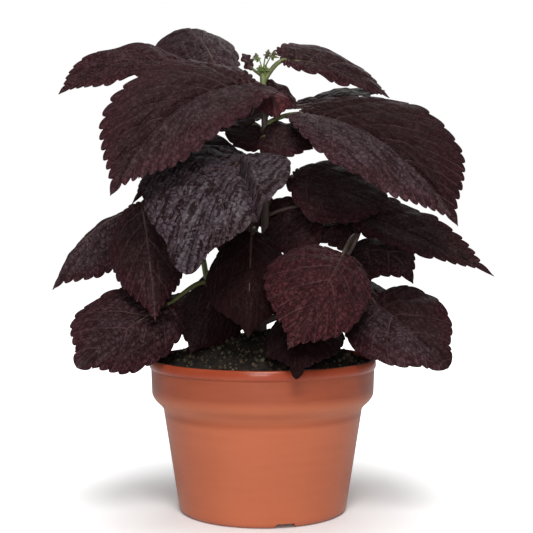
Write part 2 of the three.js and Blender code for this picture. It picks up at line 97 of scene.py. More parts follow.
pick()
print(len(bpy.context.selected_objects), "objects picked")

# %% [markdown]
# ## Helpers for nodes
# A material is a tree of nodes. `put` adds one node and wires its inputs in one go: an input is either a
# value, or a wire, which is a pair of a node and one of its outputs. The others are short names for the
# nodes that come up most, and each returns a wire.

# %% Add and wire nodes
def put(tree, kind, inputs=None, **settings):
    """Adds a node. Each input is a value, or a pair of a node and its output's name."""
    made = tree.nodes.new(kind)
    for name, value in settings.items():
        setattr(made, name, value)
    for name, value in (inputs or {}).items():
        if isinstance(value, tuple) and isinstance(value[0], bpy.types.Node):
            tree.links.new(value[0].outputs[value[1]], made.inputs[name])
        else:
            made.inputs[name].default_value = value
    return made


def sum_of(tree, operation, a, b=0.0, clamp=False):
    """One sum on numbers or wires."""
    return put(tree, "ShaderNodeMath", {0: a, 1: b}, operation=operation, use_clamp=clamp), "Value"


def times(tree, a, b):
    """Two numbers or wires multiplied: of two masks, only where both are."""
    return sum_of(tree, "MULTIPLY", a, b)


def fade(tree, value, start, end, low=0.0, high=1.0):
    """Turns start..end into low..high, with soft ends."""
    inputs = {"Value": value, "From Min": start, "From Max": end, "To Min": low, "To Max": high}
    return put(tree, "ShaderNodeMapRange", inputs, interpolation_type="SMOOTHSTEP"), "Result"


def spread(tree, mask, low, high):
    """Turns a mask of 0..1 into low..high, with soft ends."""
    return fade(tree, mask, 0.0, 1.0, low, high)


def noise_of(tree, place, scale, detail, roughness=0.5, distortion=0.0):
    """Smooth noise at a place."""
    return put(tree, "ShaderNodeTexNoise", {
        "Vector": place, "Scale": scale, "Detail": detail, "Roughness": roughness, "Distortion": distortion,
    }), "Fac"


def object_place(tree):
    """The place of a point in its object."""
    return put(tree, "ShaderNodeTexCoord"), "Object"


helpers = (put, sum_of, times, fade, spread, noise_of, object_place)
print("helpers:", ", ".join(helper.__name__ for helper in helpers))

# %% [markdown]
# ## Mottling, for every surface
# Nothing that grew or was moulded has one even colour. This group makes a cloudy mask and a speckled one
# from two sizes of noise in the object's own coordinates. It is built once, and every material below places
# it with its own scales.

# %% Make the mottling group
CLOUD_GRAIN = (3.0, 0.55)  # detail and roughness of the noise
SPECK_GRAIN = (2.0, 0.6)
MOTTLING_RANGE = (0.3, 0.7)  # of the noise's values


def new_group(name, inputs, outputs):
    """A shader node group with named number inputs and outputs, and its two end nodes."""
    group = bpy.data.node_groups.new(name, "ShaderNodeTree")
    for label, value in inputs.items():
        socket = group.interface.new_socket(label, in_out="INPUT", socket_type="NodeSocketFloat")
        socket.default_value = value
    for label in outputs:
        group.interface.new_socket(label, in_out="OUTPUT", socket_type="NodeSocketFloat")
    return group, group.nodes.new("NodeGroupInput"), group.nodes.new("NodeGroupOutput")


def put_out(group, group_out, wires):
    """Wires a group's outputs."""
    for label, (made, output) in wires.items():
        group.links.new(made.outputs[output], group_out.inputs[label])


mottling, group_in, group_out = new_group(
    "mottling", {"Scale": 60.0, "Fine scale": 600.0}, ["Clouds", "Specks"]
)
place = object_place(mottling)
clouds = noise_of(mottling, place, (group_in, "Scale"), *CLOUD_GRAIN)
specks = noise_of(mottling, place, (group_in, "Fine scale"), *SPECK_GRAIN)
put_out(mottling, group_out, {
    "Clouds": fade(mottling, clouds, *MOTTLING_RANGE), "Specks": fade(mottling, specks, *MOTTLING_RANGE),
})
print("mottling group:", len(mottling.nodes), "nodes")

# %% [markdown]
# ## The pot
# The real pot is moulded in one piece of clay-coloured plastic: a tapered wall, a rounded step, a taller
# collar with a shallow groove at its top, and a rolled lip that stands out over the groove as a bead. Its
# outline could be spun round in one go. Here a ring of vertices is extruded from the foot up the outside,
# over the lip and down the inside, one height at a time, as a potter would draw it, because each ring then
# has its own line of two sizes. Steps, bead and lip get several close rings, so that they catch the light
# as smooth curves.

# %% Sizes of the pot, in mm
POT_HEIGHT = 81
RIM_RADIUS = 60
COLLAR = (58.7, 63.5)  # radius and height at the collar's foot
STEP = (55.4, 57.8)
NECK = (52.4, 52.8)
BASE_RADIUS = 44.8
BASE_ROUND = 4
WALL = 1.8
WALL_RINGS = 8
LIP_WALL = 2.8
LIP_HEIGHT = 3.6
LIP_GROOVE = (59.1, 75.6)
BEAD_ROUND = 0.6
FLOOR_TOP = 4.6
FLOOR_ROUND = 2.4
FOOT_HEIGHT = 2.6
FOOT_SLOPE = 1.2
FOOT_INNER = 38
CENTRE_RADIUS = 14
CURVE_RINGS = 6
print(f"pot {2 * RIM_RADIUS} mm wide and {POT_HEIGHT} mm high")


# %% [markdown]
# The outline is listed before it is drawn, as a radius and a height for every ring: from the foot's centre
# up the outside, over the lip and down the inside to the floor. A straight wall needs few rings. A round
# part gets several, on a curve that leaves one ring towards a bend and ends at the next ring.

# %% List the pot's rings
def arc_point(start, bend, end, t):
    """The point at t, from 0 to 1, on a curve that leaves start towards bend and ends at end."""
    return (1 - t) ** 2 * start + 2 * t * (1 - t) * bend + t**2 * end


def curve_rings(start, bend, end):
    """Rings after start along a curve that leaves it towards bend and ends at end."""
    shares = [(k + 1) / CURVE_RINGS for k in range(CURVE_RINGS)]
    return [tuple(arc_point(a, b, c, t) for a, b, c in zip(start, bend, end)) for t in shares]


def inner_rings(play=0):
    """The rings down the inside of the pot to its floor, or of what fills it with some play."""
    return [
        (COLLAR[0] - WALL - play, COLLAR[1]),
        (STEP[0] - WALL - play, STEP[1]),
        (NECK[0] - WALL - play, NECK[1]),
        (BASE_RADIUS - WALL - play, FLOOR_TOP + FLOOR_ROUND + play),
        (BASE_RADIUS - WALL - FLOOR_ROUND - play, FLOOR_TOP + play),
    ]


def pot_rings():
    """Radius and height of each ring of the pot, from the foot's centre round to the floor's."""
    lip_foot = (RIM_RADIUS, POT_HEIGHT - LIP_HEIGHT)
    lip_top = (RIM_RADIUS - LIP_WALL / 2, POT_HEIGHT)
    lip_inner = (RIM_RADIUS - LIP_WALL, POT_HEIGHT - LIP_HEIGHT)
    base = (BASE_RADIUS, BASE_ROUND)
    base_foot = (BASE_RADIUS - BASE_ROUND, 0)
    rings = [
        (CENTRE_RADIUS, 0),
        (CENTRE_RADIUS + FOOT_SLOPE, FOOT_HEIGHT),
        (FOOT_INNER - FOOT_SLOPE, FOOT_HEIGHT),
        (FOOT_INNER, 0),
        base_foot,
    ]
    rings += curve_rings(base_foot, (BASE_RADIUS, 0), base)
    for k in range(1, WALL_RINGS + 1):
        share = k / WALL_RINGS
        rings.append((base[0] + (NECK[0] - base[0]) * share, base[1] + (NECK[1] - base[1]) * share))
    rings += curve_rings(NECK, (NECK[0], (NECK[1] + STEP[1]) / 2), STEP)
    rings += curve_rings(STEP, (COLLAR[0], (STEP[1] + COLLAR[1]) / 2), COLLAR)
    rings.append(((COLLAR[0] + LIP_GROOVE[0]) / 2, (COLLAR[1] + LIP_GROOVE[1]) / 2))
    rings.append(LIP_GROOVE)
    rings += curve_rings(LIP_GROOVE, (RIM_RADIUS, LIP_GROOVE[1] + BEAD_ROUND), lip_foot)
    rings += curve_rings(lip_foot, (RIM_RADIUS, POT_HEIGHT), lip_top)
    rings += curve_rings(lip_top, (lip_inner[0], POT_HEIGHT), lip_inner)
    return rings + inner_rings()


print(len(pot_rings()), "rings")


# %% [markdown]
# Now the list is drawn. In edit mode the picked ring of edges is extruded to the next height and scaled to
# the next radius, and the new ring stays picked for the next step. At the end the last ring is filled, and
# all faces are turned outwards.

# %% Draw the pot up from its foot
POT_SIDES = 144


def extrude_rings(radius, height, rings):
    """Extrudes the picked ring of edges, which has this radius and height, through other rings in mm."""
    for new_radius, new_height in rings:
        bpy.ops.mesh.extrude_edges_move(
            TRANSFORM_OT_translate={"value": (0, 0, (new_height - height) * MM)}
        )
        share = new_radius / radius
        bpy.ops.transform.resize(value=(share, share, 1), center_override=(0, 0, new_height * MM))
        radius, height = new_radius, new_height


def close_body():
    """Fills the last ring, turns all faces outwards and leaves edit mode."""
    bpy.ops.mesh.edge_face_add()
    bpy.ops.mesh.select_all(action="SELECT")
    bpy.ops.mesh.normals_make_consistent(inside=False)
    bpy.ops.object.mode_set(mode="OBJECT")


def draw_rings(rings):
    """A closed round body, extruded ring by ring from a first circle, with flat ends."""
    radius, height = rings[0]
    pick()
    bpy.ops.mesh.primitive_circle_add(
        vertices=POT_SIDES, radius=radius * MM, fill_type="NGON", location=(0, 0, height * MM)
    )
    bpy.ops.object.mode_set(mode="EDIT")
    bpy.ops.mesh.select_mode(type="EDGE")
    bpy.ops.mesh.select_all(action="SELECT")
    extrude_rings(radius, height, rings[1:])
    close_body()
    return bpy.context.object


pot = draw_rings(pot_rings())
print("pot:", len(pot.data.polygons), "faces")

# %% [markdown]
# Water leaves through three holes in the floor and three shallow slots in the foot, which also let air
# under the pot. They are cut with cutters of the same shape as the tool in the mould: a peg and a tapered
# bar.

# %% Cut the drain holes and slots
DRAIN_COUNT = 3
DRAIN_ANGLE = -75  # of the first one, from +X
DRAIN_RING = 30
DRAIN_RADIUS = 3.6
PEG_LENGTH = 4 * FLOOR_TOP
PEG_SIDES = 32
SLOT_FOOT = 14
SLOT_TOP = 9
SLOT_HEIGHT = 2.4


def apply_modifier(piece, kind, **settings):
    """Adds a modifier, sets it and applies it."""
    pick(piece)
    modifier = piece.modifiers.new(kind, kind)
    for name, value in settings.items():
        setattr(modifier, name, value)
    bpy.ops.object.modifier_apply(modifier=modifier.name)


def drain_cutters(angle):
    """The peg of one drain hole and the bar of its slot, at an angle round the pot."""
    outward = Vector((math.cos(angle), math.sin(angle), 0))
    bpy.ops.mesh.primitive_cylinder_add(
        vertices=PEG_SIDES, radius=DRAIN_RADIUS * MM, depth=PEG_LENGTH * MM,
        location=outward * DRAIN_RING * MM,
    )
    peg = bpy.context.object
    middle = (DRAIN_RING + BASE_RADIUS) / 2
    bpy.ops.mesh.primitive_cube_add(size=1, location=outward * middle * MM, rotation=(0, 0, angle))
    bar = bpy.context.object
    bar.scale = ((BASE_RADIUS - DRAIN_RING) * MM, SLOT_FOOT * MM, 2 * SLOT_HEIGHT * MM)
    for vertex in bar.data.vertices:
        if vertex.co.z > 0:
            vertex.co.y *= SLOT_TOP / SLOT_FOOT
    return peg, bar


angles = [math.radians(DRAIN_ANGLE + 360 / DRAIN_COUNT * k) for k in range(DRAIN_COUNT)]
for cutter in [cutter for angle in angles for cutter in drain_cutters(angle)]:
    apply_modifier(pot, "BOOLEAN", operation="DIFFERENCE", object=cutter)
    bpy.data.objects.remove(cutter)
print("drained pot:", len(pot.data.polygons), "faces")

# %% [markdown]
# ## The pot's plastic
# A material here starts with a Principled shader. What is the same all over is set on the shader itself,
# and only what changes over the surface is wired to it.

# %% Make and wire a material
def color(red, green, blue):
    """A colour for a socket."""
    return red, green, blue, 1.0


def use_group(tree, group, **inputs):
    """Places a group in a material, with its own values. Underscores stand for spaces."""
    return put(tree, "ShaderNodeGroup", {k.replace("_", " "): v for k, v in inputs.items()}, node_tree=group)


def new_material(name, scale, fine_scale, constants):
    """A material with its constants set and the mottling placed, and its tree, shader and mottling."""
    material = bpy.data.materials.new(name)
    material.use_nodes = True
    tree = material.node_tree
    shader = tree.nodes["Principled BSDF"]
    for socket, value in constants.items():
        shader.inputs[socket].default_value = value
    return material, tree, shader, use_group(tree, mottling, Scale=scale, Fine_scale=fine_scale)


def wire_shader(tree, shader, **wires):
    """Wires a shader's inputs. Underscores stand for spaces."""
    for name, (made, output) in wires.items():
        tree.links.new(made.outputs[output], shader.inputs[name.replace("_", " ")])


def blend(tree, factor, a, b):
    """A colour between a and b. A Mix node's colours are its inputs 6 and 7 and its output 2."""
    return put(tree, "ShaderNodeMix", {0: factor, 6: a, 7: b}, data_type="RGBA"), 2


def axes_of(tree, vector):
    """The node that takes a vector apart into X, Y and Z."""
    return put(tree, "ShaderNodeSeparateXYZ", {"Vector": vector})


def bump(tree, height, strength, distance, invert=False):
    """Bumps on the surface, from a height."""
    inputs = {"Height": height, "Strength": strength, "Distance": distance}
    return put(tree, "ShaderNodeBump", inputs, invert=invert), "Normal"


def dress(piece, *materials):
    """Gives a piece these materials and no others."""
    piece.data.materials.clear()
    for material in materials:
        piece.data.materials.append(material)


print("Principled shader ready")

# %% [markdown]
# The plastic is dyed through, yet its colour is set in bands along the height, and several of them are
# painted light and shade: the foot is painted a little paler and the step paler still, as light bounced up
# from the floor, a thin dark line of painted shade lies in the neck under the step, the collar is deeper,
# partly as the leaves' painted shadow, and the lip deepest.
# A ramp along the height gives each band its colour. Long streaks lie round the pot, as the plastic flowed
# into the mould. Dust pales the foot, and a faint fine grain from the mould breaks up the satin highlights,
# most on the wall and least on the lip, which hands have rubbed smooth.

# %% Mix the pot's plastic
# Several of these colours are painted light: the foot and the step paler, as light bounced from the floor,
# the neck line darker as painted shade, and the collar deeper, partly as the leaves' painted shadow.
POT_FOOT_PAINTED_BOUNCE = color(0.49, 0.132, 0.059)
POT_WALL = color(0.455, 0.121, 0.054)
POT_PALE_DUST_AND_BOUNCE = color(0.46, 0.132, 0.059)
POT_DEEP = color(0.38, 0.090, 0.037)
POT_NECK_PAINTED_SHADE = color(0.36, 0.082, 0.033)
POT_COLLAR_DEEP_AND_SHADOWED = color(0.262, 0.053, 0.021)
POT_LIP = color(0.27, 0.041, 0.017)
POT_BANDS = (  # each a height in mm and its colour
    (0, POT_FOOT_PAINTED_BOUNCE), (25, POT_WALL), (50, POT_WALL), (52.5, POT_NECK_PAINTED_SHADE), (55.5, POT_PALE_DUST_AND_BOUNCE), (60.5, POT_PALE_DUST_AND_BOUNCE),
    (66, POT_COLLAR_DEEP_AND_SHADOWED), (75.5, POT_COLLAR_DEEP_AND_SHADOWED), (77, POT_LIP), (81, POT_LIP),
)
STREAK_STRETCH = (8, 8, 60)  # low and long, round the pot
STREAK_GRAIN = (5.0, 3.0)  # scale and detail of the noise
STREAK_RANGE = (0.35, 0.7)
POT_CLOUDINESS = 0.22
DUST_TOP = 45  # mm
DUST = 0.4
SATIN = (0.34, 0.44)
LIP_EDGE = (75.0, 77.0)  # mm
LIP_POLISH = 0.6
POT_GRAIN = (0.25, 0.06 * MM)  # strength and height of the bumps


def ramp(tree, value, stops, top):
    """Colours blended along a value. Each stop is a place, from 0 to top, and its colour."""
    made = put(tree, "ShaderNodeValToRGB", {"Fac": sum_of(tree, "DIVIDE", value, top)})
    elements = made.color_ramp.elements
    elements[0].color, elements[1].color = stops[0][1], stops[-1][1]
    for place, tone in stops[1:-1]:
        elements.new(place / top).color = tone
    return made, "Color"


plastic, tree, shader, spots = new_material("clay-coloured plastic", 26.0, 900.0, {
    "Specular IOR Level": 0.26, "Coat Weight": 0.05, "Coat Roughness": 0.25,
})
place = object_place(tree)
height = axes_of(tree, place)
height_mm = sum_of(tree, "DIVIDE", (height, "Z"), MM)
# the colours along the height, with painted bounce light at the foot and the step, painted shade in the neck
# and painted shadow on the collar
banded = ramp(tree, height_mm, POT_BANDS, POT_HEIGHT)
laid = put(tree, "ShaderNodeMapping", {"Vector": place, "Scale": STREAK_STRETCH})
streaks = noise_of(tree, (laid, "Vector"), *STREAK_GRAIN)
blotches = sum_of(tree, "ADD", (spots, "Clouds"), fade(tree, streaks, *STREAK_RANGE))
cloudy = blend(tree, times(tree, blotches, POT_CLOUDINESS), banded, POT_DEEP)
dusty = times(tree, fade(tree, (height, "Z"), DUST_TOP * MM, 0.0), (spots, "Specks"))
# the dust pales the foot with the same colour that paints the step's bounce light
final = blend(tree, times(tree, dusty, DUST), cloudy, POT_PALE_DUST_AND_BOUNCE)
satin = spread(tree, (spots, "Specks"), *SATIN)
rough = times(tree, satin, fade(tree, height_mm, *LIP_EDGE, 1.0, LIP_POLISH))
grain = bump(tree, (spots, "Specks"), *POT_GRAIN)
wire_shader(tree, shader, Base_Color=final, Roughness=rough, Normal=grain)
dress(pot, plastic)
print("mixed", plastic.name)

# %% [markdown]
# A finished piece has its place in its mesh and its object at the origin, so that patterns that follow the
# object's own coordinates stay put. Its curved faces are smoothed and its sharp edges kept. It then rides
# on the one body of the frame and takes the place of a plain solid.

# %% Finish the pot
def finish_piece(piece, name, node, sharp_angle):
    """Names, smooths and seats a piece in the frame, in place of a plain solid. Returns its faces."""
    pick(piece)
    bpy.ops.object.transform_apply(location=True, rotation=True, scale=True)
    bpy.ops.object.shade_smooth_by_angle(angle=math.radians(sharp_angle))
    piece.name = name
    piece.data.name = name
    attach(piece, "root")
    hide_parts(node)
    return len(piece.data.polygons)


print("pot finished:", finish_piece(pot, "flower_pot", "pot", sharp_angle=40), "faces")

# %% [markdown]
# ## The soil
# Potting mix is dark, damp and crumbly, and heaped up a little round the stem. A bump map would leave its
# outline smooth over the rim, so the crumbly form is in the mesh. The height at each place is a sum: a low
# mound, the heap on it, and clumps, lumps and crumbs in three sizes.

# %% Sizes of the soil, in mm
SOIL_EDGE_HEIGHT = 76.5
SOIL_CROWN_HEIGHT = 90
SOIL_PLAY = 0.4
SOIL_EDGE = RIM_RADIUS - LIP_WALL - SOIL_PLAY
SOIL_HEAP = 3.5  # earthed up round the stem
SOIL_HEAP_REACH = 24
SOIL_CLUMP = 0.9
SOIL_LUMP = 1.3
SOIL_LUMPS = 0.28  # to a mm
SOIL_CRUMBS = 0.9  # to a mm


def soil_height(x, y):
    """The height of the soil at a place, in mm."""
    out = math.hypot(x, y)
    share = min(out / SOIL_EDGE, 1)
    mound = SOIL_EDGE_HEIGHT + (SOIL_CROWN_HEIGHT - SOIL_EDGE_HEIGHT) * (1 - share**2)
    mound += SOIL_HEAP * math.exp(-((out / SOIL_HEAP_REACH) ** 2))
    # The clumps are slow waves, which the plain solid has too.
    clumps = math.sin(0.37 * x + 1.1) * math.cos(0.41 * y) + 0.6 * math.sin(0.83 * x - 0.62 * y + 0.5)
    lumps = noise.noise(Vector((x, y, 0)) * SOIL_LUMPS)
    crumbs = abs(noise.noise(Vector((x, y, 5)) * SOIL_CRUMBS))
    return mound + SOIL_CLUMP * clumps + SOIL_LUMP * lumps + crumbs


print(f"soil {soil_height(0, 0):.0f} mm high in the middle")

# %% [markdown]
# A disc would crowd its faces in the middle, so the top starts as a square grid, which has them evenly all
# over, and is rounded to a disc. Each vertex is lifted to the soil's height. The open edge is then extruded
# down the same rings as the pot's inside, with a little play, and closed.

# %% Heap the soil
SOIL_CELLS = 150


def make_soil():
    """The soil as a closed body, from a grid for its top and rings down its side."""
    pick()
    bpy.ops.mesh.primitive_grid_add(x_subdivisions=SOIL_CELLS, y_subdivisions=SOIL_CELLS, size=2)
    body = bpy.context.object
    for vertex in body.data.vertices:
        a, b = vertex.co.x, vertex.co.y
        x = a * math.sqrt(1 - b * b / 2) * SOIL_EDGE
        y = b * math.sqrt(1 - a * a / 2) * SOIL_EDGE
        vertex.co = Vector((x, y, soil_height(x, y))) * MM
    bpy.ops.object.mode_set(mode="EDIT")
    bpy.ops.mesh.select_mode(type="EDGE")
    bpy.ops.mesh.select_all(action="DESELECT")
    bpy.ops.mesh.select_non_manifold()
    rings = inner_rings(SOIL_PLAY)
    extrude_rings(SOIL_EDGE, SOIL_EDGE_HEIGHT, rings)
    bpy.ops.transform.resize(value=(1, 1, 0), center_override=(0, 0, rings[-1][1] * MM))
    close_body()
    return body


soil = make_soil()
print("soil:", len(soil.data.polygons), "faces")

# %% [markdown]
# On top lie loose bits: crumbs of peat, chips of bark, pale fibres and a few green-grey specks of moss and
# grit. One crumb and one fibre are modelled, with few faces each, because there are to be hundreds of
# copies.

# %% Model one crumb and one fibre
CRUMB_RADIUS = 0.5
CRUMB_ROUGHNESS = 0.5
CRUMB_NOISE = 3  # to a mm
FIBRE_ENDS = (0.07, 0.03)  # radii of a fibre 1 mm long
FIBRE_BEND = 0.16


def make_crumb():
    """One angular crumb, 1 mm across."""
    bpy.ops.mesh.primitive_ico_sphere_add(subdivisions=1, radius=CRUMB_RADIUS * MM)
    crumb = bpy.context.object
    for vertex in crumb.data.vertices:
        vertex.co *= 1 + CRUMB_ROUGHNESS * noise.noise(vertex.co / MM * CRUMB_NOISE)
    return crumb


def make_fibre():
    """One bent fibre, 1 mm long."""
    thick, thin = FIBRE_ENDS
    bpy.ops.mesh.primitive_cone_add(vertices=4, radius1=thick * MM, radius2=thin * MM, depth=MM)
    bpy.ops.object.mode_set(mode="EDIT")
    bpy.ops.mesh.select_all(action="SELECT")
    bpy.ops.mesh.bisect(plane_co=(0, 0, 0), plane_no=(0, 0, 1))
    bpy.ops.transform.translate(value=(FIBRE_BEND * MM, 0, 0))
    bpy.ops.object.mode_set(mode="OBJECT")
    return bpy.context.object


pick()
crumb, fibre = make_crumb(), make_fibre()
print("a crumb has", len(crumb.data.polygons), "faces and a fibre", len(fibre.data.polygons))

# %% [markdown]
# Copies are strewn over the disc, each turned, sized and stretched by a seeded random draw, so that every
# run gives the same soil. A particle system could strew them too, but here each copy is kept off the stem
# and seated by a share of its own size. An attribute tells the material what each bit is.

# %% Strew crumbs and fibres
CRUMBS = 1500
CRUMB_SIZES = (0.7, 2.6)
CRUMB_STRETCH = (0.6, 1.1)
CRUMB_TONES = ((0.0, 0.0),) * 3 + ((0.45, 0.0), (1.0, 0.0), (0.5, 1.0))  # paleness and greenness
FIBRES = 170
FIBRE_SIZES = (1.2, 3.4)
FIBRE_STRETCH = (1.0, 1.6)
FIBRE_TONES = ((0.7, 0.0),) * 5 + ((0.7, 0.3),)
NARROWEST = 0.6
STREWN_REACH = 0.985  # share of the soil's radius
STREWN_LIFT = 0.25  # share of a bit's size
STEM_CLEARANCE = 3.9
draw = np.random.default_rng(12)


def strewn(source, count, sizes, stretch, tones, name):
    """Copies of one bit, strewn over the soil as one mesh, with a tone drawn for each bit."""
    points = np.array([v.co for v in source.data.vertices])
    faces = [tuple(p.vertices) for p in source.data.polygons]
    all_points, all_faces, all_tones = [], [], []
    for _ in range(count):
        radius = SOIL_EDGE * STREWN_REACH * math.sqrt(draw.random())
        angle = draw.random() * 2 * math.pi
        x, y = radius * math.cos(angle), radius * math.sin(angle)
        size = draw.uniform(*sizes)
        scale = size * np.array((1, draw.uniform(NARROWEST, 1), draw.uniform(*stretch)))
        turn, _ = np.linalg.qr(draw.normal(size=(3, 3)))
        turn *= np.sign(np.linalg.det(turn))
        if radius < STEM_CLEARANCE:
            continue
        seat = np.array((x, y, soil_height(x, y) + STREWN_LIFT * size)) * MM
        all_faces += [tuple(i + len(all_points) for i in face) for face in faces]
        all_points += ((points * scale) @ turn.T + seat).tolist()
        all_tones += [(*tones[draw.integers(len(tones))], 0)] * len(points)
    mesh = bpy.data.meshes.new(name)
    mesh.from_pydata(all_points, [], all_faces)
    shade = mesh.attributes.new("bit", "FLOAT_VECTOR", "POINT")
    shade.data.foreach_set("vector", np.array(all_tones, np.float32).ravel())
    bits = bpy.data.objects.new(name, mesh)
    bpy.context.collection.objects.link(bits)
    bpy.data.objects.remove(source)
    return bits


crumbs = strewn(crumb, CRUMBS, CRUMB_SIZES, CRUMB_STRETCH, CRUMB_TONES, "crumbs")
fibres = strewn(fibre, FIBRES, FIBRE_SIZES, FIBRE_STRETCH, FIBRE_TONES, "fibres")
print("bits:", len(crumbs.data.polygons), "crumb faces and", len(fibres.data.polygons), "fibre faces")

# %% [markdown]
# Damp peat is almost black, matt, and rough at every size. The bits are the same stuff, dried paler, so one
# material serves all: it reads each bit's paleness and greenness, and on the mound itself both are nought.

# %% Mix the soil
SOIL_DARK = color(0.009, 0.0065, 0.0048)
SOIL_BROWN = color(0.024, 0.016, 0.0105)
BARK_PALE = color(0.19, 0.135, 0.080)
MOSS_GREEN = color(0.085, 0.080, 0.048)
MOSSINESS = 0.8
PALENESS = (0.4, 1.0)
SOIL_ROUGHNESS = (0.95, 0.75)
SOIL_GRAIN = (0.9, 0.5 * MM)


def attribute(tree, name, output="Fac"):
    """What a piece's own attribute says at a point."""
    return put(tree, "ShaderNodeAttribute", attribute_name=name), output


peat, tree, shader, spots = new_material("damp potting soil", 140.0, 1500.0, {"Specular IOR Level": 0.3})
kinds = axes_of(tree, attribute(tree, "bit", "Vector"))
ground = blend(tree, (spots, "Clouds"), SOIL_DARK, SOIL_BROWN)
pale = times(tree, (kinds, "X"), spread(tree, (spots, "Specks"), *PALENESS))
barked = blend(tree, pale, ground, BARK_PALE)
mossy = blend(tree, times(tree, (kinds, "Y"), MOSSINESS), barked, MOSS_GREEN)
rough = spread(tree, (spots, "Clouds"), *SOIL_ROUGHNESS)
grain = bump(tree, (spots, "Specks"), *SOIL_GRAIN)
wire_shader(tree, shader, Base_Color=mossy, Roughness=rough, Normal=grain)
print("mixed", peat.name)


# %% [markdown]
# The bits are partly sunk in the mound and move with it, so mound and bits are one piece.

# %% Join the soil and its bits
def join_pieces(pieces):
    """Joins several objects into the first one and returns it."""
    pick(*pieces)
    bpy.ops.object.join()
    return bpy.context.object


soil = join_pieces([soil, crumbs, fibres])
dress(soil, peat)
print("soil finished:", finish_piece(soil, "potting_soil", "soil", sharp_angle=30), "faces")

# %% [markdown]
# ## The leaves: where they are
# Every leaf on this plant differs, so each has a row of its own: the stem that it leaves and at what
# height, then five points on the blade in mm. Three lie on the midrib, at its base, middle and tip. The
# last two are where the left and right edges are at the widest place. A row can also say how far each half
# rolls down (curl) and how far the blade turns from base to tip (twist), both in degrees. A fullness below
# 1 moves the widest place towards the tip, and one above 1 towards the base. A heel above 0 narrows the
# blade towards its base, and a blunt value above 0 rounds its tip. Toothing below 1 makes the teeth lower.

# %% The leaves' rows
def leaf(stem, joint, base, middle, tip, left, right, curl=30, twist=0, **shape):
    """One leaf's row, with its points as arrays."""
    points = {"base": base, "middle": middle, "tip": tip, "left": left, "right": right}
    row = {name: np.array(point, float) for name, point in points.items()}
    row |= {"stem": stem, "joint": joint, "curl": math.radians(curl), "twist": math.radians(twist)}
    return row | {"fullness": 1.0, "heel": 0.0, "blunt": 0.0, "toothing": 1.0} | shape


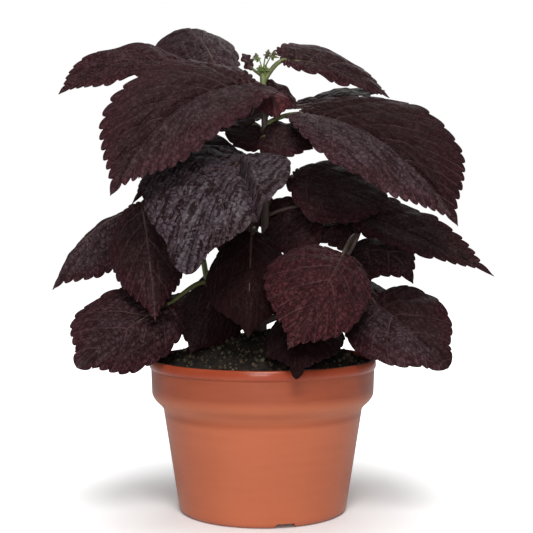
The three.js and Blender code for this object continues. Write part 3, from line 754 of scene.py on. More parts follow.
LEAVES = {
    "crown_front_left": leaf("main", 216, (-6, -14, 223), (-42, -48, 207), (-71, -74, 165),
        (-27, -63, 196), (-38, -14, 238), twist=-24, fullness=0.87),
    "crown_left": leaf("main", 223, (-45, 20, 235), (-74, 12, 238), (-108, 2, 220),
        (-64, 1, 230), (-71, 31, 250), fullness=0.9),
    "crown_back_left": leaf("main", 218, (-28, 44, 242), (-47, 78, 266), (-71, 104, 253),
        (-44, 49, 234), (-28, 90, 267)),
    "crown_right": leaf("main", 226, (12, 2, 238), (41, 18, 235), (70, 32, 221),
        (31, 31, 249), (43, 12, 228), fullness=0.9, heel=0.4),
    "upper_right": leaf("main", 203, (20, -7, 209), (59, -50, 191), (91, -76, 151),
        (62, -13, 218), (36, -61, 184), twist=10, fullness=0.82, heel=0.5, toothing=0.75),
    "middle_front": leaf("main", 178, (-8, -26, 186), (-25, -60, 165), (-36, -68, 128),
        (18, -42, 182), (-62, -52, 171), blunt=0.62, toothing=0.35),
    "middle_left": leaf("main", 176, (-9, 4, 184), (-36, -2, 198), (-67, -18, 162),
        (-24, -20, 180), (-27, 28, 194), toothing=0.65),
    "far_left": leaf("left", 148, (-68, 4, 159), (-92, -4, 145), (-110, -8, 117),
        (-80, -2, 128), (-90, 19, 147)),
    "hanging_left": leaf("left", 155, (-62, -14, 162), (-56, -40, 135), (-53, -44, 104),
        (-42, -14, 137), (-78, -17, 141)),
    "low_left": leaf("left", 121, (-48, -24, 111), (-70, -46, 98), (-89, -62, 83),
        (-59, -47, 81), (-80, -21, 116), fullness=0.85, blunt=0.5, toothing=0.85),
    "low_front_left": leaf("main", 118, (-19, -4, 128), (-28, -19, 109), (-37, -26, 85),
        (-7, 3, 105), (-41, 5, 112), toothing=0.65),
    "front": leaf("main", 131, (-5, -33, 147), (-6, -55, 122), (-7, -60, 97),
        (13, -24, 129), (-27, -26, 131), fullness=0.98, toothing=0.6),
    "front_right": leaf("right", 145, (40, -34, 136), (27, -66, 117), (12, -72, 93),
        (57, -35, 122), (7, -39, 135), fullness=0.92, toothing=0.85),
    "low_right": leaf("right", 124, (58, -16, 111), (72, -42, 100), (90, -56, 82),
        (78, -12, 121), (49, -47, 88), twist=-12, fullness=0.85, blunt=0.7, toothing=0.55),
    "far_right": leaf("right", 150, (53, -2, 156), (85, -14, 143), (118, -24, 125),
        (72, 4, 163), (69, -23, 140), fullness=1.4),
    "shaded_right": leaf("right", 133, (47, 6, 133), (65, -2, 137), (79, -6, 120),
        (66, 17, 146), (55, -9, 121), fullness=1.3),
    "middle_right": leaf("main", 173, (16, 1, 176), (40, -10, 169), (65, -19, 158),
        (47, 18, 185), (28, -22, 154), fullness=0.82, heel=0.6),
    "inner_front": leaf("main", 155, (22, -2, 159), (12, -3, 150), (0, -2, 139),
        (25, -16, 139), (8, 7, 165), toothing=0.65),
    "inner_right": leaf("right", 147, (47, 2, 153), (39, -6, 151), (28, -12, 142),
        (41, -9, 137), (38, 11, 156)),
    "young_left": leaf("main", 195, (-5, 4, 204), (-14, 2, 202), (-24, -3, 205),
        (-9, -5, 190), (-11, 13, 208), fullness=1.4),
    "young_right": leaf("main", 190, (1, -11, 197), (12, -15, 196), (26, -17, 190),
        (12, -2, 205), (10, -25, 185)),
    "young_back": leaf("main", 221, (3, 5, 223), (10, 8, 220), (18, 9, 213),
        (12, 14, 225), (4, 0, 213), toothing=0.5),
    "young_front": leaf("main", 223, (2, -6, 220), (5, -13, 216), (7, -14, 206),
        (12, -5, 219), (-2, -6, 212)),
    "young_top": leaf("main", 228, (-6, 0, 234), (-8, -1, 237), (-11, -1, 241),
        (-10, -6, 235), (-6, 4, 239), toothing=0.35),
    "rim_front": leaf("right", 106, (17, -26, 108), (17, -58, 96), (16, -66, 78),
        (40, -45, 94), (1, -30, 93), blunt=0.3, toothing=0.6),
    "upper_back_right": leaf("main", 210, (26, 24, 217), (49, 48, 227), (72, 70, 227),
        (45, 63, 230), (44, 17, 218)),
    "crown_back": leaf("main", 213, (2, 26, 219), (-2, 56, 224), (-10, 86, 209),
        (-19, 42, 219), (19, 48, 219)),
    "upper_back_left": leaf("main", 208, (-14, 25, 208), (-46, 50, 211), (-74, 78, 178),
        (-54, 19, 202), (-18, 64, 210)),
    "middle_back_left": leaf("main", 170, (-10, 20, 172), (-34, 50, 178), (-56, 80, 150),
        (-48, 21, 169), (-3, 57, 175)),
    "middle_back_right": leaf("main", 150, (16, 24, 157), (46, 52, 166), (74, 78, 142),
        (16, 61, 160), (53, 22, 156)),
    "back_left": leaf("left", 140, (-44, 14, 148), (-66, 40, 146), (-84, 64, 120),
        (-78, 15, 139), (-40, 47, 143)),
    "back_high": leaf("back", 168, (-12, 46, 170), (-20, 76, 162), (-26, 100, 132),
        (-41, 60, 159), (6, 73, 159)),
    "low_back": leaf("back", 120, (-6, 36, 122), (-14, 66, 116), (-20, 92, 88),
        (-37, 50, 112), (13, 63, 112)),
    "low_back_right": leaf("right", 118, (40, 16, 125), (62, 40, 114), (84, 60, 88),
        (36, 49, 114), (72, 15, 110)),
    "low_back_left": leaf("left", 112, (-38, 16, 114), (-62, 42, 104), (-86, 62, 76),
        (-72, 16, 100), (-35, 52, 104)),
}
print(len(LEAVES), "leaves")

# %% [markdown]
# ## The stems
# A coleus has square stems, swollen a little at each joint, where leaves leave in pairs. Each stem is a
# smooth curve through a few points. They could be extruded step by step, but a curve object that sweeps a
# small rounded square along the path keeps the section true round every bend. It turns into a mesh
# afterwards.

# %% The stems' paths, in mm
STEMS = {  # each a path, and the half widths at its ends
    "main": (
        [(0, 0, 42), (0, 0, 78), (0, 2, 111), (1, 2, 143), (2, 0, 175), (1, 0, 205), (0, 0, 231)], (2.5, 1.4)
    ),
    "left": ([(0, 1, 94), (-16, -4, 106), (-28, -8, 120), (-32, -9, 136), (-42, -8, 156)], (1.8, 1.2)),
    "right": ([(0, 1, 99), (16, -3, 107), (34, -6, 122), (46, -6, 138), (52, -5, 152)], (1.8, 1.2)),
    "back": ([(0, 2, 106), (-3, 14, 118), (-6, 26, 138), (-6, 32, 158), (-5, 35, 172)], (1.8, 1.2)),
}
STEM_SAMPLES = 120


def smooth_step(b, c, start, end, t):
    """The point at t, from 0 to 1, between b and c, on a curve with given speeds at both."""
    return b + start * t + (3 * (c - b) - 2 * start - end) * t**2 + (2 * (b - c) + start + end) * t**3


def smooth_path(points, samples):
    """Points along a centripetal Catmull-Rom curve through the given ones."""
    p = np.array(points, float)
    p = np.vstack([2 * p[0] - p[1], p, 2 * p[-1] - p[-2]])
    found = []
    for position in np.linspace(0, len(points) - 1, samples):
        k = min(int(position), len(points) - 2)
        a, b, c, d = p[k : k + 4]
        gaps = [max(np.linalg.norm(e - f), 1e-6) ** 0.5 for e, f in ((b, a), (c, b), (d, c))]
        start = (b - a) / gaps[0] - (c - a) / (gaps[0] + gaps[1]) + (c - b) / gaps[1]
        end = (c - b) / gaps[1] - (d - b) / (gaps[1] + gaps[2]) + (d - c) / gaps[2]
        found.append(smooth_step(b, c, start * gaps[1], end * gaps[1], position - k))
    return np.array(found)


def stem_point(name, height):
    """The point on a stem's axis at one height."""
    path = stem_paths[name]
    return path[np.argmin(np.abs(path[:, 2] - height))]


stem_paths = {name: smooth_path(points, STEM_SAMPLES) for name, (points, _) in STEMS.items()}
print(len(stem_paths), "stems of", STEM_SAMPLES, "points")

# %% [markdown]
# The section is a circle of four curve points with handles. Handles half as long again pull it out into a
# square with rounded corners. Its half width is 1 mm, so that a stem's radius at each point is its half
# width there.

# %% Draw the stem's section
SQUARENESS = 1.55  # how much longer than a circle's the handles are
SECTION_STEPS = 5

bpy.ops.curve.primitive_bezier_circle_add(radius=MM)
section = bpy.context.object
section.data.resolution_u = SECTION_STEPS
for point in section.data.splines[0].bezier_points:
    point.handle_left_type = point.handle_right_type = "FREE"
    point.handle_left = point.co + (point.handle_left - point.co) * SQUARENESS
    point.handle_right = point.co + (point.handle_right - point.co) * SQUARENESS
print("section:", len(section.data.splines[0].bezier_points), "points")

# %% [markdown]
# Each stem gets a radius at every point: thinner towards its end, and a little swollen where a leaf leaves.
# The tubes are joined as one piece, because they grew as one.

# %% Sweep and join the stems
JOINT_SWELL = 0.18
JOINT_SPREAD = 2.5  # mm
TUBE_ROUNDNESS = 2


def sweep(points, radii, corners=None):
    """A tube with closed ends along points in mm, with a radius at each, round or of a given section."""
    pick()
    bpy.ops.curve.primitive_nurbs_path_add()
    path = bpy.context.object.data
    path.splines.clear()
    spline = path.splines.new("POLY")
    spline.points.add(len(points) - 1)
    for point, place, radius in zip(spline.points, points, radii):
        point.co = (*(place * MM), 1)
        point.radius = radius
    if corners is None:
        path.twist_mode = "Z_UP"
        path.bevel_depth = MM
        path.bevel_resolution = TUBE_ROUNDNESS
    else:
        path.twist_mode = "MINIMUM"
        path.bevel_mode = "OBJECT"
        path.bevel_object = corners
    path.use_fill_caps = True
    bpy.ops.object.convert(target="MESH")
    return bpy.context.object


def stem_radii(name):
    """The half width of a stem at each of its points, swollen at the leaves' joints."""
    heights = stem_paths[name][:, 2]
    radii = np.linspace(*STEMS[name][1], len(heights))
    joints = [row["joint"] for row in LEAVES.values() if row["stem"] == name]
    swell = [np.exp(-(((heights - joint) / JOINT_SPREAD) ** 2)) for joint in joints]
    return radii * (1 + JOINT_SWELL * np.max(swell, axis=0))


stems = join_pieces([sweep(stem_paths[name], stem_radii(name), section) for name in STEMS])
bpy.data.objects.remove(section)
print("stems:", len(stems.data.polygons), "faces")

# %% [markdown]
# Old stems are dyed purple, as the leaves are. They are still olive green at the young top, and on the side
# branch at the left, which the leaves shade least. There the dye runs in long streaks, so the noise for it
# is stretched along the height.

# %% Mix the stems' skin
STEM_GREEN = color(0.095, 0.130, 0.030)
STEM_PALE = color(0.155, 0.20, 0.055)
STEM_PURPLE = color(0.050, 0.018, 0.022)
STEM_STRETCH = (900.0, 900.0, 60.0)
STEM_STREAKS = (0.42, 0.62)  # range of the noise
STREAK_PURPLE = 0.6
STEM_DYE = (0.9, 0.15)  # how purple the old stems and the young ones are
YOUNG_TOP = (0.216, 0.229)  # m up, where the main stem turns green
GREEN_BRANCH = (-0.006, -0.016)  # m across, where the left branch does
STEM_ROUGHNESS = (0.42, 0.6)
STEM_GRAIN = (0.4, 0.3 * MM)

stem_skin, tree, shader, spots = new_material("green stem skin", 220.0, 1600.0, {"Specular IOR Level": 0.4})
place = object_place(tree)
drawn_out = put(tree, "ShaderNodeMapping", {"Vector": place, "Scale": STEM_STRETCH})
streaks = noise_of(tree, (drawn_out, "Vector"), 1.0, 3.0)
streaky = times(tree, fade(tree, streaks, *STEM_STREAKS), STREAK_PURPLE)
axes = axes_of(tree, place)
young = fade(tree, (axes, "Z"), *YOUNG_TOP)
unshaded = fade(tree, (axes, "X"), *GREEN_BRANCH)
dyed = spread(tree, sum_of(tree, "MAXIMUM", young, unshaded), *STEM_DYE)
green = blend(tree, (spots, "Clouds"), STEM_GREEN, STEM_PALE)
purple = blend(tree, sum_of(tree, "MAXIMUM", streaky, dyed), green, STEM_PURPLE)
rough = spread(tree, (spots, "Specks"), *STEM_ROUGHNESS)
grain = bump(tree, streaks, *STEM_GRAIN)
wire_shader(tree, shader, Base_Color=purple, Roughness=rough, Normal=grain)
dress(stems, stem_skin)
print("stems finished:", finish_piece(stems, "green_stems", "stems", sharp_angle=50), "faces")

# %% [markdown]
# ## The leaves: one blank, bent many ways
# A blade could be sculpted by hand, but thirty-five of them are surer by rule. Each starts as a flat grid,
# with one direction running from base to tip and the other from edge to edge. Rows and columns are then
# moved: first to the flat outline with its teeth, then out of the flat along the arched midrib, with both
# halves rolled down and a slow wave along the edge. On top of that come the hollows over the veins and the
# puffed skin between.

# %% The plain outline
OUTLINE = (
    (0, 0), (-0.05, 0.24), (-0.035, 0.54), (0.08, 0.85), (0.26, 1),
    (0.47, 0.97), (0.68, 0.77), (0.81, 0.44), (0.895, 0.14), (0.95, 0.05), (1, 0),
)  # one side, from the base round to the tip: shares of the length and of the half width
OUTLINE_SAMPLES = 600
WIDEST = 0.3
HEEL_REACH = 0.45  # share of the length that a heel narrows
BLUNT_FROM = 0.6  # share of the length after which a blunt leaf may be rounder than the outline


def outline_table():
    """Shares of the outline's own length, and the places on it."""
    p = np.array(OUTLINE, float)
    found = []
    for position in np.linspace(0, len(p) - 1, OUTLINE_SAMPLES):
        k = min(int(position), len(p) - 2)
        a, b, c, d = p[max(k - 1, 0)], p[k], p[k + 1], p[min(k + 2, len(p) - 1)]
        found.append(smooth_step(b, c, (c - a) / 2, (d - b) / 2, position - k))
    distance = run_along(np.array(found))
    return distance / distance[-1], np.array(found)


def run_along(points):
    """How far each point lies along the line through all of them."""
    return np.append(0, np.cumsum(np.linalg.norm(np.diff(points, axis=0), axis=1)))


def plain_edge(blade, side, u):
    """The edge without teeth, at u from 0 at the base to 1 at the tip."""
    u = np.clip(u, 0, 1)
    x = np.interp(u, outline_distance, outline_points[:, 0])
    y = np.interp(u, outline_distance, outline_points[:, 1])
    share = np.where(x > 0, np.abs(x) ** blade["fullness"], x * (1 - blade["heel"]))
    y = y * (1 - blade["heel"] * np.maximum(0, 1 - np.maximum(0, share) / HEEL_REACH) ** 2)
    rounded = blade["blunt"] * np.sqrt(np.maximum(0, 1 - share**2))
    y = np.where(share > BLUNT_FROM, np.maximum(y, rounded), y)
    return share * blade["length"], side * y * np.where(side > 0, *blade["widths"])


outline_distance, outline_points = outline_table()
print(f"outline widest at {outline_distance[outline_points[:, 1].argmax()]:.2f} of its edge")

# %% [markdown]
# The edge is scalloped with round teeth that lean towards the tip, with sharp notches between. The grid's
# columns run from the midrib out to the edge. They start nearer to the base than they end, and curve
# forwards, as the side veins do, so that veins and puffed skin can follow the grid.

# %% The teeth, and the grid's way to the edge
TOOTH_LEAST = 0.8  # mm
TOOTH_SHARE = 1 / 75  # of the leaf's length
TOOTH_PEAK = 4 / 6
TOOTH_ROUNDNESS = 0.7
TOOTH_GROWTH = 1.5
TOOTH_LEAN = 0.5  # how far a tooth's point is drawn towards the leaf's tip, as a share of its height
TOOTH_BAND = 0.2  # share of the half width, at the edge, over which the teeth grow to their height
TOOTHLESS = 0.06  # share of the length at the tip where the teeth die out
EDGE_STEP = 0.01
VEIN_ROOTS = 2.6  # the higher, the nearer to the base a side vein leaves the midrib
VEIN_CURVE = 0.25  # how strongly the side veins bend forwards


def tooth_lift(blade, u):
    """How far the teeth stand out: each is a round scallop, with a sharp notch to the next."""
    through = (u * blade["teeth"]) % 1
    rising = np.sin(np.pi / 2 * np.minimum(through / TOOTH_PEAK, 1)) ** TOOTH_ROUNDNESS
    falling = np.sin(np.pi / 2 * np.clip((1 - through) / (1 - TOOTH_PEAK), 0, 1)) ** TOOTH_ROUNDNESS
    ends = np.clip((1 - u) / TOOTHLESS, 0, 1)
    return blade["tooth"] * ends * np.where(through < TOOTH_PEAK, rising, falling)


def flat_place(blade, u, v):
    """Where the grid's point (u, v) goes on the flat blade. v is -1 at the right edge and 1 at the left."""
    side = np.where(v < 0, -1.0, 1.0)
    out = np.abs(v)
    root = u**VEIN_ROOTS * blade["length"]
    x, y = plain_edge(blade, side, u)
    last_x, last_y = plain_edge(blade, side, u - EDGE_STEP)
    next_x, next_y = plain_edge(blade, side, u + EDGE_STEP)
    along, outward = next_x - last_x, next_y - last_y
    size = np.hypot(along, outward)
    lift = tooth_lift(blade, u) * np.clip((out - (1 - TOOTH_BAND)) / TOOTH_BAND, 0, 1) ** TOOTH_GROWTH
    curved = out + VEIN_CURVE * out * (out - 1)
    along, outward = along / size, outward / size
    return (
        root + (x - root) * curved + lift * (TOOTH_LEAN * along - side * outward),
        y * out + lift * (TOOTH_LEAN * outward + side * along),
    )


print(f"teeth of a leaf 60 mm long: {TOOTH_LEAST + TOOTH_SHARE * 60:.1f} mm high")

# %% [markdown]
# A row's five points fix a blade. Its midrib is a curve through three of them, and the two on the edges say
# how wide each half is and how steeply it leaves the midrib. These sizes are worked out before any mesh is
# made, once for each leaf.

# %% Plan a blade from its five points
TEETH_LEAST = 3
TEETH_SPACING = 6.5  # mm
MIDRIB_SAMPLES = 241


def unit(v):
    """Vectors of length 1 in the same directions."""
    return v / np.linalg.norm(v, axis=-1, keepdims=True)


def midrib(blade, share):
    """Points and directions on the midrib, at shares of its length."""
    t = np.interp(share * blade["length"], blade["distance"], blade["t"])[:, None]
    base, arch, tip = blade["base"], blade["arch"], blade["tip"]
    return arc_point(base, arch, tip, t), unit((1 - t) * (arch - base) + t * (tip - arch))


def plan_blade(row):
    """The sizes of a blade, worked out from its row."""
    base, tip = row["base"], row["tip"]
    arch = 2 * row["middle"] - (base + tip) / 2
    t = np.linspace(0, 1, MIDRIB_SAMPLES)
    distance = run_along(arc_point(base, arch, tip, t[:, None]))
    length = distance[-1]
    blade = {name: row[name] for name in ("fullness", "heel", "blunt", "curl", "twist", "base", "tip")}
    blade |= {"arch": arch, "t": t, "distance": distance, "length": length}
    point, along = midrib(blade, np.array([WIDEST]))
    along = along[0]
    spokes = [row[side] - point[0] for side in ("left", "right")]
    chords = [spoke - along * (spoke @ along) for spoke in spokes]
    up = unit(np.cross(along, chords[0] - chords[1]))
    reach = [np.linalg.norm(chord) for chord in chords]
    half = row["curl"] / 2
    return blade | {
        "along": along,
        "up": up,
        "widths": [r * half / math.sin(half) for r in reach],
        "folds": [math.asin(-(chord @ up) / r) - half for chord, r in zip(chords, reach)],
        "teeth": TEETH_LEAST + round(length / TEETH_SPACING),
        "tooth": (TOOTH_LEAST + TOOTH_SHARE * length) * row["toothing"],
    }


lengths = {name: plan_blade(row)["length"] for name, row in LEAVES.items()}
print(f"longest blade {max(lengths.values()):.0f} mm, shortest {min(lengths.values()):.0f} mm")

# %% [markdown]
# Now each place on the flat blade is moved to its place on the bent one. Simple Deform could bend it, but
# only round one axis and by one amount. Here the blade follows its midrib and turns round it only by its
# twist. Each half bends down like part of a hoop, from the fold at the midrib to the edge, and a slow wave
# runs along the edge.

# %% Bend the blade
WAVES = 2.5
WAVE_START = (0.1, 0.6)  # how far through a ripple the left and the right side start


def bend(blade, x, y, lift):
    """Places on the bent blade, in mm, for places on the flat one and a lift out of its surface."""
    share = np.clip(x / blade["length"], 0, 1)
    point, along = midrib(blade, share)
    at = point + along * (x - share * blade["length"])[:, None]
    start = blade["up"]
    turn = np.cross(np.broadcast_to(blade["along"], along.shape), along)
    turned = np.cross(turn, np.cross(turn, start)) / (1 + along @ blade["along"])[:, None]
    up = start + np.cross(turn, start) + turned
    angle = (blade["twist"] * (share - WIDEST))[:, None]
    up = up * np.cos(angle) + np.cross(along, up) * np.sin(angle)
    outward = np.cross(up, along) * np.where(y > 0, 1.0, -1.0)[:, None]
    width, fold, phase = (np.where(y > 0, *pair) for pair in (blade["widths"], blade["folds"], WAVE_START))
    r = np.abs(y)
    k = blade["curl"] / width
    across = (np.sin(fold + k * r) - np.sin(fold)) / k
    drop = (np.cos(fold) - np.cos(fold + k * r)) / k
    ripple = (r / width) ** 2 * np.sin(2 * np.pi * (WAVES * share + phase))
    lean = (fold + k * r)[:, None]
    normal = up * np.cos(lean) + outward * np.sin(lean)
    return at + outward * across[:, None] + up * (ripple - drop)[:, None] + normal * lift[:, None]


blade = plan_blade(LEAVES["middle_front"])
end = bend(blade, *(np.array([value]) for value in (blade["length"], 0.0, 0.0)))[0]
print(f"bent: its tip is {np.linalg.norm(end - blade['tip']):.2f} mm from where the row puts it")

# %% [markdown]
# Side veins run from the midrib to every second tooth. Over a vein the skin is drawn in, and between two
# veins it puffs up, most on old leaves. Low swells, lumps and the rungs of the cross veins make it uneven.
# This relief is in the mesh where it is large, so that it shows in the outline and the shade, and in the
# material where it is fine.

# %% Count the veins and grow noise
def vein_count(blade, u):
    """A number that grows by 1 from one side vein to the next, and is whole on a vein."""
    return (u * blade["teeth"] - 1 - TOOTH_PEAK) / 2


def grown_noise(seed, across, along):
    """Smooth noise at many places, each given by two numbers."""
    return np.array([noise.noise(Vector((a, b, seed))) for a, b in zip(across, along)])


def bell(away):
    """1 at nought, and falling softly to both sides."""
    return np.exp(-(away**2))


print(f"side veins on each half of the middle front leaf: {int(vein_count(blade, 1))}")

# %% [markdown]
# One big leaf has a sharp crease, where the blade has been folded: a narrow valley, with a lower ridge at
# its left. Both are soft bells across the line of the fold.

# %% Fold a crease
CREASE_RIDGE = (0.7, 1.9)  # how high its ridge is and how far away, in depths and widths of the crease


def crease_lift(crease, x, y):
    """A sharp valley with a ridge at its left, along a line on the flat blade, all in mm."""
    start, end, depth, width = crease
    height, ridge_away = CREASE_RIDGE
    run = np.array(end) - start
    size = np.hypot(*run)
    share = np.clip(((x - start[0]) * run[0] + (y - start[1]) * run[1]) / size**2, 0, 1)
    to_left = ((y - start[1]) * run[0] - (x - start[0]) * run[1]) / size
    away = np.hypot(x - start[0] - share * run[0], y - start[1] - share * run[1])
    ridge = bell((to_left - ridge_away * width) / width) * bell((away - np.abs(to_left)) / width)
    return depth * (height * ridge - bell(away / width))


print(f"the ridge beside a crease stands {CREASE_RIDGE[0]} times the crease's depth high")

# %% Puff the skin between the veins
QUILT_SHAPE = 0.7  # below 1, the puffs are fuller
ROOM_SHAPE = 0.8  # below 1, they lie nearer to the midrib
MIDRIB_HOLLOW = (0.6, 0.9)  # depth and half width, mm
HOLLOW_LEFT = 0.1  # share of it that is left at the tip
SWELL_SIZE = 16  # mm
LUMP_SIZE = 4.5
LUMP_HEIGHT = 0.9
RUNG_HEIGHT = 0.8
RUNG_STRETCH = 0.8  # rungs to a side vein
RUNG_LENGTH = 2.8
FULL_LENGTH = 60  # mm, from which on a leaf has its full relief
FLAT_ENDS = 0.05  # share of the length


def relief(blade, u, v, x, y, look, seed):
    """How far the skin is lifted, in mm."""
    out = np.abs(v)
    between = np.abs(np.sin(np.pi * vein_count(blade, u)))
    room = np.sin(np.pi * np.clip(out, 0, 1) ** ROOM_SHAPE) ** QUILT_SHAPE
    depth, width = MIDRIB_HOLLOW
    hollow = bell(y / width) * np.clip(1 + HOLLOW_LEFT - u, HOLLOW_LEFT, 1)
    swell = grown_noise(seed, x / SWELL_SIZE, y / SWELL_SIZE)
    lumps = grown_noise(seed + 9, x / LUMP_SIZE, y / LUMP_SIZE)
    rungs = grown_noise(seed + 5, RUNG_STRETCH * vein_count(blade, u), y / RUNG_LENGTH)
    uneven = (LUMP_HEIGHT * lumps + RUNG_HEIGHT * rungs) * room
    skin = look["quilting"] * (between**QUILT_SHAPE * room + uneven) - depth * hollow + swell * out
    if look["crease"]:
        skin = skin + crease_lift(look["crease"], x, y)
    ends = np.clip(u / FLAT_ENDS, 0, 1) * np.clip((1 - u) / FLAT_ENDS, 0, 1)
    return min(1, blade["length"] / FULL_LENGTH) * ends * skin


print("a leaf has its full relief from", FULL_LENGTH, "mm of length")

# %% [markdown]
# The material has to find the veins again, however a blade is bent. So three UV maps are stored on each
# one: the first counts the veins and says how far out a point lies, the second is the flat leaf in
# centimetres, and the third tells how far apart the veins are and how far along the leaf the point lies.

# %% Store places for the veins' pattern
SPACING_STEP = 0.002
VEIN_SLANT = 0.8  # the gap between two slanting veins, as a share of that along the edge


def store_uv(mesh, name, a, b):
    """Stores two values of each vertex as a UV map."""
    layer = mesh.uv_layers.new(name=name)
    corners = np.empty(len(mesh.loops), np.int32)
    mesh.loops.foreach_get("vertex_index", corners)
    layer.data.foreach_set("uv", np.column_stack((a[corners], b[corners])).astype(np.float32).ravel())


def vein_spacing(blade, u, v):
    """How far apart the side veins are, in mm."""
    after, before = np.minimum(u + SPACING_STEP, 1), np.maximum(u - SPACING_STEP, 0)
    next_x, next_y = flat_place(blade, after, v)
    last_x, last_y = flat_place(blade, before, v)
    counted = vein_count(blade, after) - vein_count(blade, before)
    return np.hypot(next_x - last_x, next_y - last_y) / counted * VEIN_SLANT


halfway = vein_spacing(blade, np.array([0.5]), np.array([0.5]))[0]
print(f"veins of the middle front leaf, halfway along: {halfway:.0f} mm apart")

# %% [markdown]
# Now the blade itself. The grid's ends are pinched to the base and the tip, so their doubled vertices are
# merged. A Solidify modifier then gives the sheet its thickness, with its own material for the underside.

# %% Make a blade
BLADE_THICKNESS = 0.45
TOOTH_STEPS = 9  # columns of the grid to a tooth
ROWS = 20  # of the grid, from midrib to edge
ROW_CROWDING = 1.35  # above 1, the rows lie closer near the midrib
MERGED = 0.02


def make_blade(blade, look, seed):
    """A toothed, veined blade as a closed thin body."""
    pick()
    bpy.ops.mesh.primitive_grid_add(
        x_subdivisions=blade["teeth"] * TOOTH_STEPS, y_subdivisions=2 * ROWS, size=2, calc_uvs=False
    )
    piece = bpy.context.object
    mesh = piece.data
    places = np.empty(len(mesh.vertices) * 3, np.float32)
    mesh.vertices.foreach_get("co", places)
    grid = places.reshape(-1, 3).astype(float)
    u = np.round((grid[:, 0] + 1) / 2, 6)
    v = np.round(grid[:, 1], 6)
    v = np.sign(v) * np.abs(v) ** ROW_CROWDING
    x, y = flat_place(blade, u, v)
    shape = bend(blade, x, y, relief(blade, u, v, x, y, look, seed)) * MM
    mesh.vertices.foreach_set("co", shape.astype(np.float32).ravel())
    store_uv(mesh, "veins", vein_count(blade, u), np.abs(v))
    store_uv(mesh, "flat", x / 10, y / 10)
    store_uv(mesh, "spacing", vein_spacing(blade, u, v), u)
    mesh.update()
    bpy.ops.object.mode_set(mode="EDIT")
    bpy.ops.mesh.select_all(action="SELECT")
    bpy.ops.mesh.remove_doubles(threshold=MERGED * MM)
    bpy.ops.object.mode_set(mode="OBJECT")
    dress(piece, leaf_skin, leaf_underside, leaf_stalk)
    apply_modifier(
        piece, "SOLIDIFY", thickness=BLADE_THICKNESS * MM, offset=0,
        material_offset=1, material_offset_rim=0,
    )
    return piece


print("a tooth gets", TOOTH_STEPS, "columns of the grid, a half", ROWS, "rows")

# %% [markdown]
# The petiole leaves the stem a little upwards, swings over to the blade and runs on below it as the raised
# midrib, thinner and thinner. It is swept along its curve as the stems are, but round.

# %% Make a petiole
PETIOLE_STEM_RADIUS = 1.4
PETIOLE_BLADE_RADIUS = 1.1
PETIOLE_RISE = 0.5
PETIOLE_SAMPLES = 18
RIB_REACH = 0.82  # how far along the blade the raised midrib shows
RIB_START = 0.01
RIB_DEPTH = (1.0, 0.25)  # mm below the blade, at the base and at its end
RIB_RADII = (0.9 * PETIOLE_BLADE_RADIUS, 0.25)
RIB_SAMPLES = 16
THINNEST = 0.55  # share of the radius that even the smallest leaf's petiole has
FULL_PETIOLE_LENGTH = 45  # mm of blade, from which on a petiole is as thick as any


def make_petiole(blade, start):
    """The stalk from the stem to the blade, and on along the midrib's underside."""
    base = blade["base"]
    reach = np.linalg.norm(base - start) / 3
    leave = unit(unit(base - start) + np.array((0, 0, PETIOLE_RISE)))
    _, along = midrib(blade, np.array([0.0]))
    a, b = start + leave * reach, base - along[0] * reach
    t = np.linspace(0, 1, PETIOLE_SAMPLES)[:, None]
    stalk = (1 - t) ** 3 * start + 3 * t * (1 - t) ** 2 * a + 3 * t**2 * (1 - t) * b + t**3 * base
    share = np.linspace(RIB_START, RIB_REACH, RIB_SAMPLES)
    deep, shallow = RIB_DEPTH
    below = (shallow - deep) * (1 - share / RIB_REACH) - shallow
    rib = bend(blade, share * blade["length"], np.full_like(share, 1e-4), below)
    radii = np.concatenate((
        np.linspace(PETIOLE_STEM_RADIUS, PETIOLE_BLADE_RADIUS, PETIOLE_SAMPLES),
        np.linspace(*RIB_RADII, RIB_SAMPLES),
    ))
    thick = min(1, blade["length"] / FULL_PETIOLE_LENGTH)
    return sweep(np.vstack((stalk, rib)), radii * (THINNEST + (1 - THINNEST) * thick))


print("petioles", 2 * PETIOLE_STEM_RADIUS, "mm thick at the stem")

# %% [markdown]
# ## The leaves' veins, as a pattern
# The midrib and the main side veins are modelled. The finer ones aren't: this group draws them all as masks
# and as heights in mm, from the UV maps that each blade carries. It is built once, for the upper side and
# the underside.

# %% Start the venation group with the places on the leaf
venation, group_in, group_out = new_group(
    "venation", {"Wrinkling": 1.0}, ["Veins", "Relief", "Ridges", "Puffs", "Margin", "Heel", "Side"]
)


def uv_place(name):
    """A place on a UV map."""
    return put(venation, "ShaderNodeUVMap", uv_map=name), "UV"


veins_map, spacing_map = axes_of(venation, uv_place("veins")), axes_of(venation, uv_place("spacing"))
flat = uv_place("flat")
flat_map = axes_of(venation, flat)
count, out = (veins_map, "X"), (veins_map, "Y")
spacing, along = (spacing_map, "X"), (spacing_map, "Y")
across = (flat_map, "Y")
print("venation group reads three UV maps")

# %% [markdown]
# A mask is 1 on the middle of a vein and 0 beyond its half width. The count is whole on a side vein, so how
# far it is from a whole number, times the spacing, is the distance in mm. Short weak veins lie halfway
# between. Noise makes them fainter in patches, as they are on a real leaf.

# %% Draw its veins
SIDE_VEIN_WIDTH = (0.75, 0.32)  # half widths in mm, at the midrib and at the edge
HALF_VEIN_WIDTH = 0.3
HALF_VEIN_START = (0.4, 0.65)  # how far out the short veins between the side veins fade in
MIDRIB_WIDTH = (1.1, 0.4)  # at the base and at the tip
VEIN_STRENGTH = 0.65
HALF_VEIN_STRENGTH = 0.5
VEIN_PATCHES = 0.55  # per cm, of places where the veins show less
PATCHINESS = (0.38, 0.6, 0.35, 1.0)  # range of the noise, and how strongly the veins show there


def vein_mask(distance, width):
    """1 in the middle of a vein, and 0 beyond its half width."""
    return fade(venation, sum_of(venation, "DIVIDE", distance, width), 1.0, 0.0)


